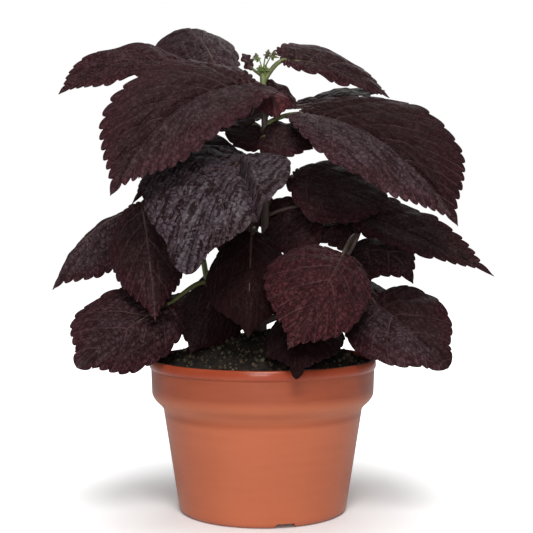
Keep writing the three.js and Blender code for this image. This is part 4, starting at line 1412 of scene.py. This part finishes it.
def from_nearest(value):
    """The distance in mm to the nearest whole number of veins."""
    return times(venation, sum_of(venation, "PINGPONG", value, 0.5), spacing)


side_veins = vein_mask(from_nearest(count), spread(venation, out, *SIDE_VEIN_WIDTH))
between = from_nearest(sum_of(venation, "ADD", count, 0.5))
half_veins = times(venation, vein_mask(between, HALF_VEIN_WIDTH), fade(venation, out, *HALF_VEIN_START))
from_midrib = times(venation, sum_of(venation, "ABSOLUTE", across), 10.0)
rib = vein_mask(from_midrib, spread(venation, along, *MIDRIB_WIDTH))
patches = noise_of(venation, flat, VEIN_PATCHES, 1.0)
veins = times(venation, sum_of(venation, "MAXIMUM", side_veins, rib), VEIN_STRENGTH)
veins = sum_of(venation, "MAXIMUM", veins, times(venation, half_veins, HALF_VEIN_STRENGTH))
veins = times(venation, veins, fade(venation, patches, *PATCHINESS))
print("veins drawn")

# %% [markdown]
# The skin between the veins is puffed in the cells of a net, folded by noise in two sizes, and ribbed by
# rungs that run from one side vein to the next. Each is a mask times a height in mm, and one Bump node
# takes their sum, so that all of them share one scale.

# %% Add up its relief, in mm
NET_CELLS = 3.6  # per cm
PUFF_EDGE = (0.0, 0.4)
PUFF_HEIGHT = 0.16
FOLDS = (3.2, 2.0, 0.6, 0.8)  # per cm, and the noise's detail, roughness and distortion
FOLD_HEIGHT = 3.0
FINE_FOLDS = (9.0, 2.0, 0.6, 0.5)
FINE_FOLD_HEIGHT = 0.42
RUNGS = (5.0, 1.0, 0.5, 0.25)
RUNG_SPREAD = 0.3  # below 1, a rung is drawn out from one side vein to the next
RUNG_RELIEF = 1.9
VEIN_DEPTHS = (0.22, 0.15, 0.12)  # of a side vein, the midrib and a half vein


def add_heights(height, masks):
    """Adds masks to a height, each times its own height."""
    for mask, tall in masks:
        height = sum_of(venation, "ADD", height, times(venation, mask, tall))
    return height


cells = put(
    venation, "ShaderNodeTexVoronoi", {"Vector": flat, "Scale": NET_CELLS}, feature="DISTANCE_TO_EDGE"
)
puffs = fade(venation, (cells, "Distance"), *PUFF_EDGE)
folds = sum_of(venation, "SUBTRACT", noise_of(venation, flat, *FOLDS), 0.5)
rung_place = put(venation, "ShaderNodeCombineXYZ", {"X": times(venation, count, RUNG_SPREAD), "Y": across})
skin = add_heights(times(venation, puffs, PUFF_HEIGHT), (
    (sum_of(venation, "ABSOLUTE", folds), FOLD_HEIGHT),
    (noise_of(venation, flat, *FINE_FOLDS), FINE_FOLD_HEIGHT),
    (noise_of(venation, (rung_place, "Vector"), *RUNGS), RUNG_RELIEF),
))
relief_height = add_heights(times(venation, skin, (group_in, "Wrinkling")), (
    (mask, -depth) for mask, depth in zip((side_veins, rib, half_veins), VEIN_DEPTHS)
))
print("relief added up")

# %% [markdown]
# The last masks tell where colours change: on the ridges of the skin, at the margin, at the heel, and from
# one half to the other.

# %% Wire its outputs
RIDGES = (1.05, 1.6)  # mm, the skin's height where its grooves end and where its ridges start
WAVERING = 0.5
MARGIN_BAND = (0.75, 1.25)  # where the margin fades in, in half widths out
HEEL_BAND = (0.24, -0.2)  # where the heel does, in lengths along
MIDDLE_BAND = (-0.12, 0.12)  # cm, where one half goes over into the other

wavering = times(venation, patches, WAVERING)
put_out(venation, group_out, {
    "Veins": veins,
    "Relief": relief_height,
    "Ridges": fade(venation, skin, *RIDGES),
    "Puffs": puffs,
    "Margin": fade(venation, sum_of(venation, "ADD", out, wavering), *MARGIN_BAND),
    "Heel": fade(venation, sum_of(venation, "SUBTRACT", along, wavering), *HEEL_BAND),
    "Side": fade(venation, across, *MIDDLE_BAND, -1.0, 1.0),
})
print("venation group:", len(venation.nodes), "nodes")

# %% [markdown]
# The blade's upper side is almost black: grey-brown in the middle, wine red towards the margin and the
# heel. A silvery grey is painted on the ridges of its skin as sheen, more on one half, and painted shade
# darkens the grooves between, the creases of the net and the other half. The veins are paler and pinker,
# except where painted shade darkens a leaf, where they hardly show. Attributes tell each leaf's own tone
# (how red, how strong its painted sheen, how pink), how much painted shade it gets and how wrinkled it is,
# and how much more painted sheen one half gets while the other gets painted shade. Its velvet of short
# hairs is a thin sheen, set on the shader itself.

# %% Colour the upper side
LEAF_DARK = color(0.017, 0.0085, 0.0086)
LEAF_BROWN = color(0.032, 0.0160, 0.0158)
LEAF_RED = color(0.041, 0.0100, 0.0145)
LEAF_BRIGHT_RED = color(0.078, 0.0165, 0.019)
# the silvery grey below is painted sheen
LEAF_PAINTED_SHEEN = color(0.086, 0.064, 0.077)
LEAF_PINK = color(0.17, 0.048, 0.056)
LEAF_VEIN = color(0.150, 0.080, 0.086)
# This dark colour is painted shade; further down, the puffs' range and the groove setting say how much of it
# falls in the net's creases and in the grooves between the ridges.
LEAF_PAINTED_SHADE = color(0.0085, 0.0018, 0.0021)
# The next two set how strong the painted sheen is at the margin, and in the grooves and on the ridges.
MARGIN_PAINTED_SHEEN = (0.9, 0.2, 0.55, 1.0)  # range of the margin's mask, and how strong the bloom is there
RIDGE_PAINTED_SHEEN = (0.45, 1.35)  # how strong it is in the grooves and on the ridges
PUFF_SHOW = (0.0, 0.7, 0.45, 1.0)  # range of the puffs' mask, and how much of the colour shows there
GROOVE_PAINTED_SHADE = 0.62  # how dark the grooves of a fully wrinkled leaf are
# how dark the painted shade on the shaded half of a two-toned leaf is
HALF_PAINTED_SHADE = 0.6  # how dark the duller half of a two-toned leaf is
# veins fade where a leaf gets painted shade
VEIN_SHOW = (0.0, 0.6, 0.6, 0.12)  # range of the darkness, and how much the veins show there

leaf_skin, tree, shader, spots = new_material("velvety dark leaf", 75.0, 1100.0, {
    "Specular IOR Level": 0.06, "Sheen Weight": 0.03, "Sheen Roughness": 0.35,
    "Sheen Tint": color(0.80, 0.60, 0.66), "Coat Roughness": 0.42, "Coat IOR": 1.4,
})
# the second attribute is how much painted shade darkens a leaf that lies in shade
wrinkling, darkness = attribute(tree, "wrinkling"), attribute(tree, "darkness")
drawn = use_group(tree, venation, Wrinkling=wrinkling)
tones = axes_of(tree, attribute(tree, "tone", "Vector"))
dark = blend(tree, (spots, "Clouds"), LEAF_DARK, LEAF_BROWN)
edged = blend(tree, sum_of(tree, "MAXIMUM", (drawn, "Margin"), (drawn, "Heel")), dark, LEAF_RED)
red = blend(tree, (tones, "X"), edged, LEAF_BRIGHT_RED)
# by the leaf's half attribute, one half gets more painted sheen and the other painted shade
turned = times(tree, attribute(tree, "half"), (drawn, "Side"))
# painted sheen: a silvery grey on the ridges, less at the margin and more on one half
painted_sheen = times(tree, (tones, "Y"), fade(tree, (drawn, "Margin"), *MARGIN_PAINTED_SHEEN))
painted_sheen = times(tree, painted_sheen, sum_of(tree, "ADD", turned, 1.0))
painted_sheen = times(tree, painted_sheen, spread(tree, (drawn, "Ridges"), *RIDGE_PAINTED_SHEEN))
grey = blend(tree, painted_sheen, red, LEAF_PAINTED_SHEEN)
pink = blend(tree, (tones, "Z"), grey, LEAF_PINK)
# painted shade in the creases of the net, between the puffs
net_shaded = blend(tree, fade(tree, (drawn, "Puffs"), *PUFF_SHOW), LEAF_PAINTED_SHADE, pink)
depth = sum_of(tree, "MULTIPLY", wrinkling, GROOVE_PAINTED_SHADE, clamp=True)
# painted shade in the grooves between the ridges
groove_shade = times(tree, fade(tree, (drawn, "Ridges"), 1.0, 0.0), depth)
ridged = blend(tree, groove_shade, net_shaded, LEAF_PAINTED_SHADE)
half_shaded = blend(tree, fade(tree, turned, 0.0, -1.0, 0.0, HALF_PAINTED_SHADE), ridged, LEAF_PAINTED_SHADE)
veined = blend(tree, times(tree, (drawn, "Veins"), fade(tree, darkness, *VEIN_SHOW)), half_shaded, LEAF_VEIN)
# painted shade over the whole leaf, as under the canopy
shaded = blend(tree, darkness, veined, LEAF_PAINTED_SHADE)
print("upper side coloured")

# %% [markdown]
# The surface is matt, and only where the sheen is painted does it have a faint gloss, so that mask becomes
# the weight of the shader's coat. The relief and the specks are heights in mm, so the Bump node's distance is
# one mm.

# %% Give it its gloss and grain
LEAF_ROUGHNESS = (0.44, 0.60)
BLOOM_GLOSS = (0.1, 0.3)
SPECK_HEIGHT = 0.04  # mm

height = sum_of(tree, "ADD", (drawn, "Relief"), times(tree, (spots, "Specks"), SPECK_HEIGHT))
rough = spread(tree, (spots, "Specks"), *LEAF_ROUGHNESS)
gloss = times(tree, painted_sheen, spread(tree, (spots, "Clouds"), *BLOOM_GLOSS))
grain = bump(tree, height, 1.0, MM)
wire_shader(tree, shader, Base_Color=shaded, Roughness=rough, Coat_Weight=gloss, Normal=grain)
print("mixed", leaf_skin.name)

# %% [markdown]
# The underside is a duller plum, and there the veins stand out instead of being sunk, so the relief is
# turned round. The petioles are smooth, from dark purple to olive, which an attribute decides too.

# %% Mix the underside and the petioles
UNDERSIDE = color(0.024, 0.0075, 0.0085)
UNDERSIDE_PALE = color(0.040, 0.013, 0.015)
STALK_PURPLE = color(0.042, 0.014, 0.017)
STALK_GREEN = color(0.12, 0.13, 0.045)
UNDERSIDE_VEINS = 0.6
UNDERSIDE_ROUGHNESS = (0.62, 0.76)
STALK_CLOUDS = 0.6
STALK_ROUGHNESS = (0.40, 0.55)
STALK_GRAIN = (0.3, 0.2 * MM)

leaf_underside, tree, shader, spots = new_material("dull plum underside", 75.0, 1100.0, {
    "Specular IOR Level": 0.06, "Sheen Weight": 0.02, "Sheen Roughness": 0.5,
})
drawn = use_group(tree, venation)
cloudy = blend(tree, (spots, "Clouds"), UNDERSIDE, UNDERSIDE_PALE)
veined = blend(tree, times(tree, (drawn, "Veins"), UNDERSIDE_VEINS), cloudy, STALK_PURPLE)
rough = spread(tree, (spots, "Specks"), *UNDERSIDE_ROUGHNESS)
grain = bump(tree, (drawn, "Relief"), 1.0, MM, invert=True)
wire_shader(tree, shader, Base_Color=veined, Roughness=rough, Normal=grain)

leaf_stalk, tree, shader, spots = new_material("leaf stalk skin", 300.0, 1800.0, {"Specular IOR Level": 0.42})
greenness = attribute(tree, "greenness")
stalk = blend(tree, greenness, STALK_PURPLE, STALK_GREEN)
paled = times(tree, times(tree, (spots, "Clouds"), STALK_CLOUDS), greenness)
cloudy = blend(tree, paled, stalk, STEM_PALE)
rough = spread(tree, (spots, "Specks"), *STALK_ROUGHNESS)
grain = bump(tree, (spots, "Specks"), *STALK_GRAIN)
wire_shader(tree, shader, Base_Color=cloudy, Roughness=rough, Normal=grain)
print("mixed", leaf_underside.name, "and", leaf_stalk.name)

# %% [markdown]
# ## All the leaves
# Now every leaf is made in turn. Most have the usual looks. A leaf that differs has a row with only what
# differs: a big old leaf has more painted sheen and is more quilted, one in the shade gets painted shade,
# and young ones have greener petioles.

# %% The leaves' looks
USUAL_LOOK = {
    # The tone's second number is how strong the painted sheen is.
    "tone": (0.18, 0.13, 0.0),  # how red, how strong its bloom, how pink
    # how much painted shade darkens a leaf that lies in shade
    "darkness": 0.0,
    # half: how much more painted sheen the left half gets, or below 0 the right one, while the other gets
    # painted shade
    "half": 0.0,  # how much paler the left half is, or below 0 the right one, while the other is duller
    "wrinkling": 0.65,
    "greenness": 0.05,  # of the petiole
    "quilting": 0.65,  # mm that the skin puffs up
    "crease": None,  # its start and end on the flat blade, its depth and its width, in mm
}
LOOKS = {
    "crown_front_left": {"darkness": 0.08, "half": 0.4, "wrinkling": 0.6, "quilting": 1.0},
    "crown_left": {"tone": (0.4, 0.1, 0.0), "wrinkling": 1.0, "quilting": 1.0},
    "crown_back_left": {"tone": (0.18, 0.35, 0.0)},
    "crown_right": {"greenness": 0.9},
    "upper_right": {
        "tone": (0.16, 0.17, 0.0), "half": -0.8, "wrinkling": 0.8, "quilting": 1.0, "greenness": 0.7,
    },
    "middle_front": {
        "tone": (0.0, 1.0, 0.0), "wrinkling": 1.35, "quilting": 0.85, "crease": ((15, 2), (52, 29), 5.2, 1.9),
    },
    "middle_left": {"darkness": 0.45},
    "far_left": {"tone": (0.2, 0.3, 0.0)},
    "hanging_left": {"tone": (0.2, 0.1, 0.0)},
    "low_left": {"tone": (0.25, 0.18, 0.0), "wrinkling": 0.9, "greenness": 0.6},
    "low_front_left": {"darkness": 0.5},
    "front": {"tone": (0.15, 0.0, 0.0), "darkness": 0.8},
    "front_right": {"tone": (0.7, 0.05, 0.0), "wrinkling": 0.9, "quilting": 0.8, "greenness": 0.12},
    "low_right": {"tone": (0.22, 0.2, 0.0), "half": -0.5},
    "far_right": {"darkness": 0.2},
    "middle_right": {"darkness": 0.3},
    "inner_front": {"darkness": 0.4},
    "inner_right": {"darkness": 0.3},
    "young_left": {"darkness": 0.4, "greenness": 0.5},
    "young_right": {"darkness": 0.3, "greenness": 0.5},
    "young_back": {"greenness": 0.5},
    "young_front": {"tone": (0.4, 0.0, 0.3), "wrinkling": 0.2, "quilting": 0.2, "greenness": 0.6},
    "young_top": {"tone": (0.2, 0.2, 0.1), "quilting": 0.3, "greenness": 0.6},
    "rim_front": {"tone": (0.0, 0.0, 0.0), "darkness": 0.9},
}
print(len(LOOKS), "leaves differ from the usual")

# %% [markdown]
# A leaf's blade and petiole are joined, and its looks are stored on it as attributes, so that one material
# serves all thirty-five. Each leaf takes the place of its own plain solid.

# %% Make all the leaves
SEED_STEP = 3.7


def fill_attribute(mesh, name, kind, key, value):
    """Gives every vertex the same value in a new attribute."""
    layer = mesh.attributes.new(name, kind, "POINT")
    layer.data.foreach_set(key, np.tile(np.array(value, np.float32), len(mesh.vertices)))


def make_leaf(name, row, seed):
    """A blade and its petiole, joined and seated in place of the plain solid. Returns its faces."""
    blade = plan_blade(row)
    look = USUAL_LOOK | LOOKS.get(name, {})
    body = make_blade(blade, look, seed)
    petiole = make_petiole(blade, stem_point(row["stem"], row["joint"]))
    dress(petiole, leaf_stalk)
    body = join_pieces([body, petiole])
    fill_attribute(body.data, "tone", "FLOAT_VECTOR", "vector", look["tone"])
    for label in ("darkness", "half", "wrinkling", "greenness"):
        fill_attribute(body.data, label, "FLOAT", "value", [look[label]])
    return finish_piece(body, "coleus_leaf_" + name, "leaf_" + name, sharp_angle=60)


counts = [make_leaf(*item, number * SEED_STEP) for number, item in enumerate(LEAVES.items())]
print(len(counts), "leaves,", sum(counts), "faces, the largest", max(counts))

# %% [markdown]
# ## The shoot tip
# At the very top the next leaves are still folded: a pale green bud, and three leaflets on thin stalks,
# each with a darker tip. The leaflets are little blades of the same kind, nearly unpuffed.

# %% Mix the tip's green skin
TIP_GREEN = color(0.085, 0.135, 0.024)
TIP_PALE = color(0.17, 0.23, 0.06)
TIP_BROWN = color(0.085, 0.045, 0.035)
BROWN_HEIGHT = (0.2375, 0.2405)  # m
BROWNNESS = 0.75
TIP_ROUGHNESS = (0.45, 0.6)
TIP_GRAIN = (0.4, 0.2 * MM)

tip_skin, tree, shader, spots = new_material("young green skin", 400.0, 2500.0, {
    "Specular IOR Level": 0.4, "Sheen Weight": 0.25, "Sheen Roughness": 0.4, "Subsurface Weight": 0.1,
    "Subsurface Scale": 0.002,
})
high = fade(tree, (axes_of(tree, object_place(tree)), "Z"), *BROWN_HEIGHT)
green = blend(tree, (spots, "Clouds"), TIP_GREEN, TIP_PALE)
browned = blend(tree, times(tree, high, BROWNNESS), green, TIP_BROWN)
rough = spread(tree, (spots, "Specks"), *TIP_ROUGHNESS)
grain = bump(tree, (spots, "Specks"), *TIP_GRAIN)
wire_shader(tree, shader, Base_Color=browned, Roughness=rough, Normal=grain)
print("mixed", tip_skin.name)

# %% [markdown]
# A leaflet's five points are worked out from where it stands: it leans outwards from the tip's axis, half
# folded, with its edges cupped round its midrib. With them it is a row like a leaf's, and the same rules
# make its blade.

# %% Plan a leaflet
LEAFLET_DROP = 0.6  # of its base below the stalk's end, in sizes, as the next ones are
LEAFLET_RISE = (0.5, 0.75)  # of its tip, outwards and up
LEAFLET_CUP = (0.15, 0.3)  # of its midrib inwards and of its edges outwards
LEAFLET_WIDEST = 0.35
LEAFLET_CURL = 40  # degrees


def leaflet(end, spread_out, size):
    """A row for a leaflet that stands at a stalk's end, half folded."""
    outward = unit(np.array((end[0], end[1], 0.0)) + 1e-6)
    across = np.cross(outward, (0, 0, 1))
    out, up = LEAFLET_RISE
    inner, outer = LEAFLET_CUP
    base = end - np.array((0, 0, LEAFLET_DROP)) * size
    tip = end + outward * out * size + np.array((0, 0, up)) * size
    middle = (base + tip) / 2 - outward * inner * size
    at = base + (tip - base) * LEAFLET_WIDEST
    left, right = (at + across * side * spread_out * size + outward * outer * size for side in (1, -1))
    return leaf("main", 0, base, middle, tip, left, right, curl=LEAFLET_CURL)


print(f"a leaflet of size 3 stands {3 * (LEAFLET_DROP + LEAFLET_RISE[1]):.1f} mm tall")

# %% [markdown]
# Three stalks bow out from the end of the stem, each with a leaflet, and four smaller leaflets stand in a
# ring in the middle as the bud.

# %% Make the tip
TIP_FOOT = np.array((0, 0, 231.3))
TIP_STALKS = (  # each its end over the tip's foot, and the size of its leaflet
    ((-2.2, 1.2, 8.2), 2.8), ((1.6, -1.2, 9.4), 2.8), ((4.6, -3.2, 8.6), 3.2),
)
TIP_STALK_RADII = (0.45, 0.315)
TIP_STALK_SINK = 0.3  # into the stem
TIP_STALK_BEND = (0.4, 0.5)  # share of the way to its end where a stalk bows, and how high
TIP_SAMPLES = 14
TIP_SPREAD = 0.3  # half the width of a leaflet, in sizes
BUD_LEAFLETS = 4
BUD_ANGLE = 35  # of the first one, from +X
BUD_REACH = (0.7, 1.6)  # how far out and up its leaflets stand
BUD_SIZE = 2.4
BUD_SPREAD = 0.42
BUD_SEED = 7
TIP_LOOK = USUAL_LOOK | {"quilting": 0.1}


def make_tip():
    """The stalked leaflets and the bud's leaflets, joined."""
    parts = []
    share, bow = TIP_STALK_BEND
    for k, (reach, size) in enumerate(TIP_STALKS):
        end = TIP_FOOT + np.array(reach)
        bowed = TIP_FOOT * (1 - share) + end * share + (0, 0, bow)
        path = smooth_path([TIP_FOOT - (0, 0, TIP_STALK_SINK), bowed, end], TIP_SAMPLES)
        parts.append(sweep(path, np.linspace(*TIP_STALK_RADII, TIP_SAMPLES)))
        parts.append(make_blade(plan_blade(leaflet(end, TIP_SPREAD, size)), TIP_LOOK, k))
    out, up = BUD_REACH
    for k in range(BUD_LEAFLETS):
        angle = math.radians(BUD_ANGLE + 360 / BUD_LEAFLETS * k)
        end = TIP_FOOT + np.array((out * math.cos(angle), out * math.sin(angle), up))
        parts.append(make_blade(plan_blade(leaflet(end, BUD_SPREAD, BUD_SIZE)), TIP_LOOK, BUD_SEED + k))
    tip = join_pieces(parts)
    dress(tip, tip_skin)
    for face in tip.data.polygons:
        face.material_index = 0
    return tip


tip = make_tip()
print("shoot tip:", finish_piece(tip, "shoot_tip_leaflets", "shoot_tip", sharp_angle=60), "faces")

# %% [markdown]
# ## The studio
# A plain, pale, slightly uneven floor takes the pot's shadow. It is a disc so wide that its edge is lost in
# the white around it. Away from the pot it has a painted glow, seen only by the camera, that rises to that
# white and fades the pot's shadow, as a curved backdrop looks when it is lit from behind.

# %% Lay the floor
FLOOR_RADIUS = 12.0  # m
FLOOR_SIDES = 96
FLOOR_TONE = color(0.90, 0.90, 0.90)
FLOOR_SHADE = color(0.86, 0.86, 0.86)
FLOOR_CLOUDS = 0.4
# where the floor's painted glow starts and ends rising to the white
GLOW_REACH = (0.02, 0.21)  # m from the pot's axis where the floor starts and ends to glow up to the white
COVE_GLOW = color(0.94, 0.94, 0.94)
PAPER_ROUGHNESS = (0.75, 0.9)

pick()
bpy.ops.mesh.primitive_circle_add(vertices=FLOOR_SIDES, radius=FLOOR_RADIUS, fill_type="NGON")
floor = bpy.context.object
floor.name = "studio_floor"
paper, tree, shader, spots = new_material("pale studio paper", 3.0, 400.0, {
    "Specular IOR Level": 0.2, "Emission Strength": 1.0,
})
paper_color = blend(tree, times(tree, (spots, "Clouds"), FLOOR_CLOUDS), FLOOR_TONE, FLOOR_SHADE)
rough = spread(tree, (spots, "Specks"), *PAPER_ROUGHNESS)
away = put(tree, "ShaderNodeVectorMath", {0: object_place(tree)}, operation="LENGTH")
seen = put(tree, "ShaderNodeLightPath")
# painted glow, for camera rays only, that whitens the floor and the pot's shadow on it away from the pot
glow = times(tree, fade(tree, (away, "Value"), *GLOW_REACH), (seen, "Is Camera Ray"))
painted_glow = blend(tree, glow, color(0, 0, 0), COVE_GLOW)
wire_shader(tree, shader, Base_Color=paper_color, Roughness=rough, Emission_Color=painted_glow)
dress(floor, paper)
floor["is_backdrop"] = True
print("floor laid")

# %% [markdown]
# The light is soft. It comes mostly from the camera's side: a key light high up, and a weaker one low down
# that reaches under the leaves. A wide weak light hangs overhead, and another behind gives the edges of the
# leaves some shine. The world is white where the camera sees it, and dim as a light, which only the Light
# Path node can tell apart.

# %% Light the studio
WORLD_LIGHT = 0.10
LIGHTS = {  # name: place in m, height in m that it aims at over the pot's middle, size in m, power in W
    "key_light": ((0.03, -0.90, 1.00), 0.13, 0.5, 13.5),
    "overhead_light": ((0.0, 0.05, 1.2), 0.1, 0.8, 4.2),
    "front_light": ((-0.05, -1.10, 0.32), 0.08, 0.25, 3.2),
    "back_light": ((0.25, 1.1, 0.8), 0.13, 0.7, 2.8),
}


def add_soft_light(name, location, aim_height, size, energy):
    """A square area light that faces a point over the pot's middle."""
    bpy.ops.object.light_add(type="AREA", location=location)
    light = bpy.context.object
    light.name = name
    light.data.size = size
    light.data.energy = energy
    aim = Vector((0, 0, aim_height)) - Vector(location)
    light.rotation_euler = aim.to_track_quat("-Z", "Y").to_euler()


for name, settings in LIGHTS.items():
    add_soft_light(name, *settings)

world = bpy.data.worlds.new("white studio")
bpy.context.scene.world = world
world.use_nodes = True
tree = world.node_tree
background = tree.nodes["Background"]
background.inputs["Color"].default_value = color(1.0, 1.0, 1.0)
rays = put(tree, "ShaderNodeLightPath")
strength, output = spread(tree, (rays, "Is Camera Ray"), WORLD_LIGHT, 1.0)
tree.links.new(strength.outputs[output], background.inputs["Strength"])
bpy.context.scene.view_settings.view_transform = "Standard"
print(len(LIGHTS), "lights")

# %% [markdown]
# ## The dressed plant's box
# The box round the dressed plant is printed, in mm.

# %% Print the dressed plant's box
low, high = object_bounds()
for axis, name in enumerate("xyz"):
    print(f"{name}: {low[axis] / MM:.1f} to {high[axis] / MM:.1f} mm")
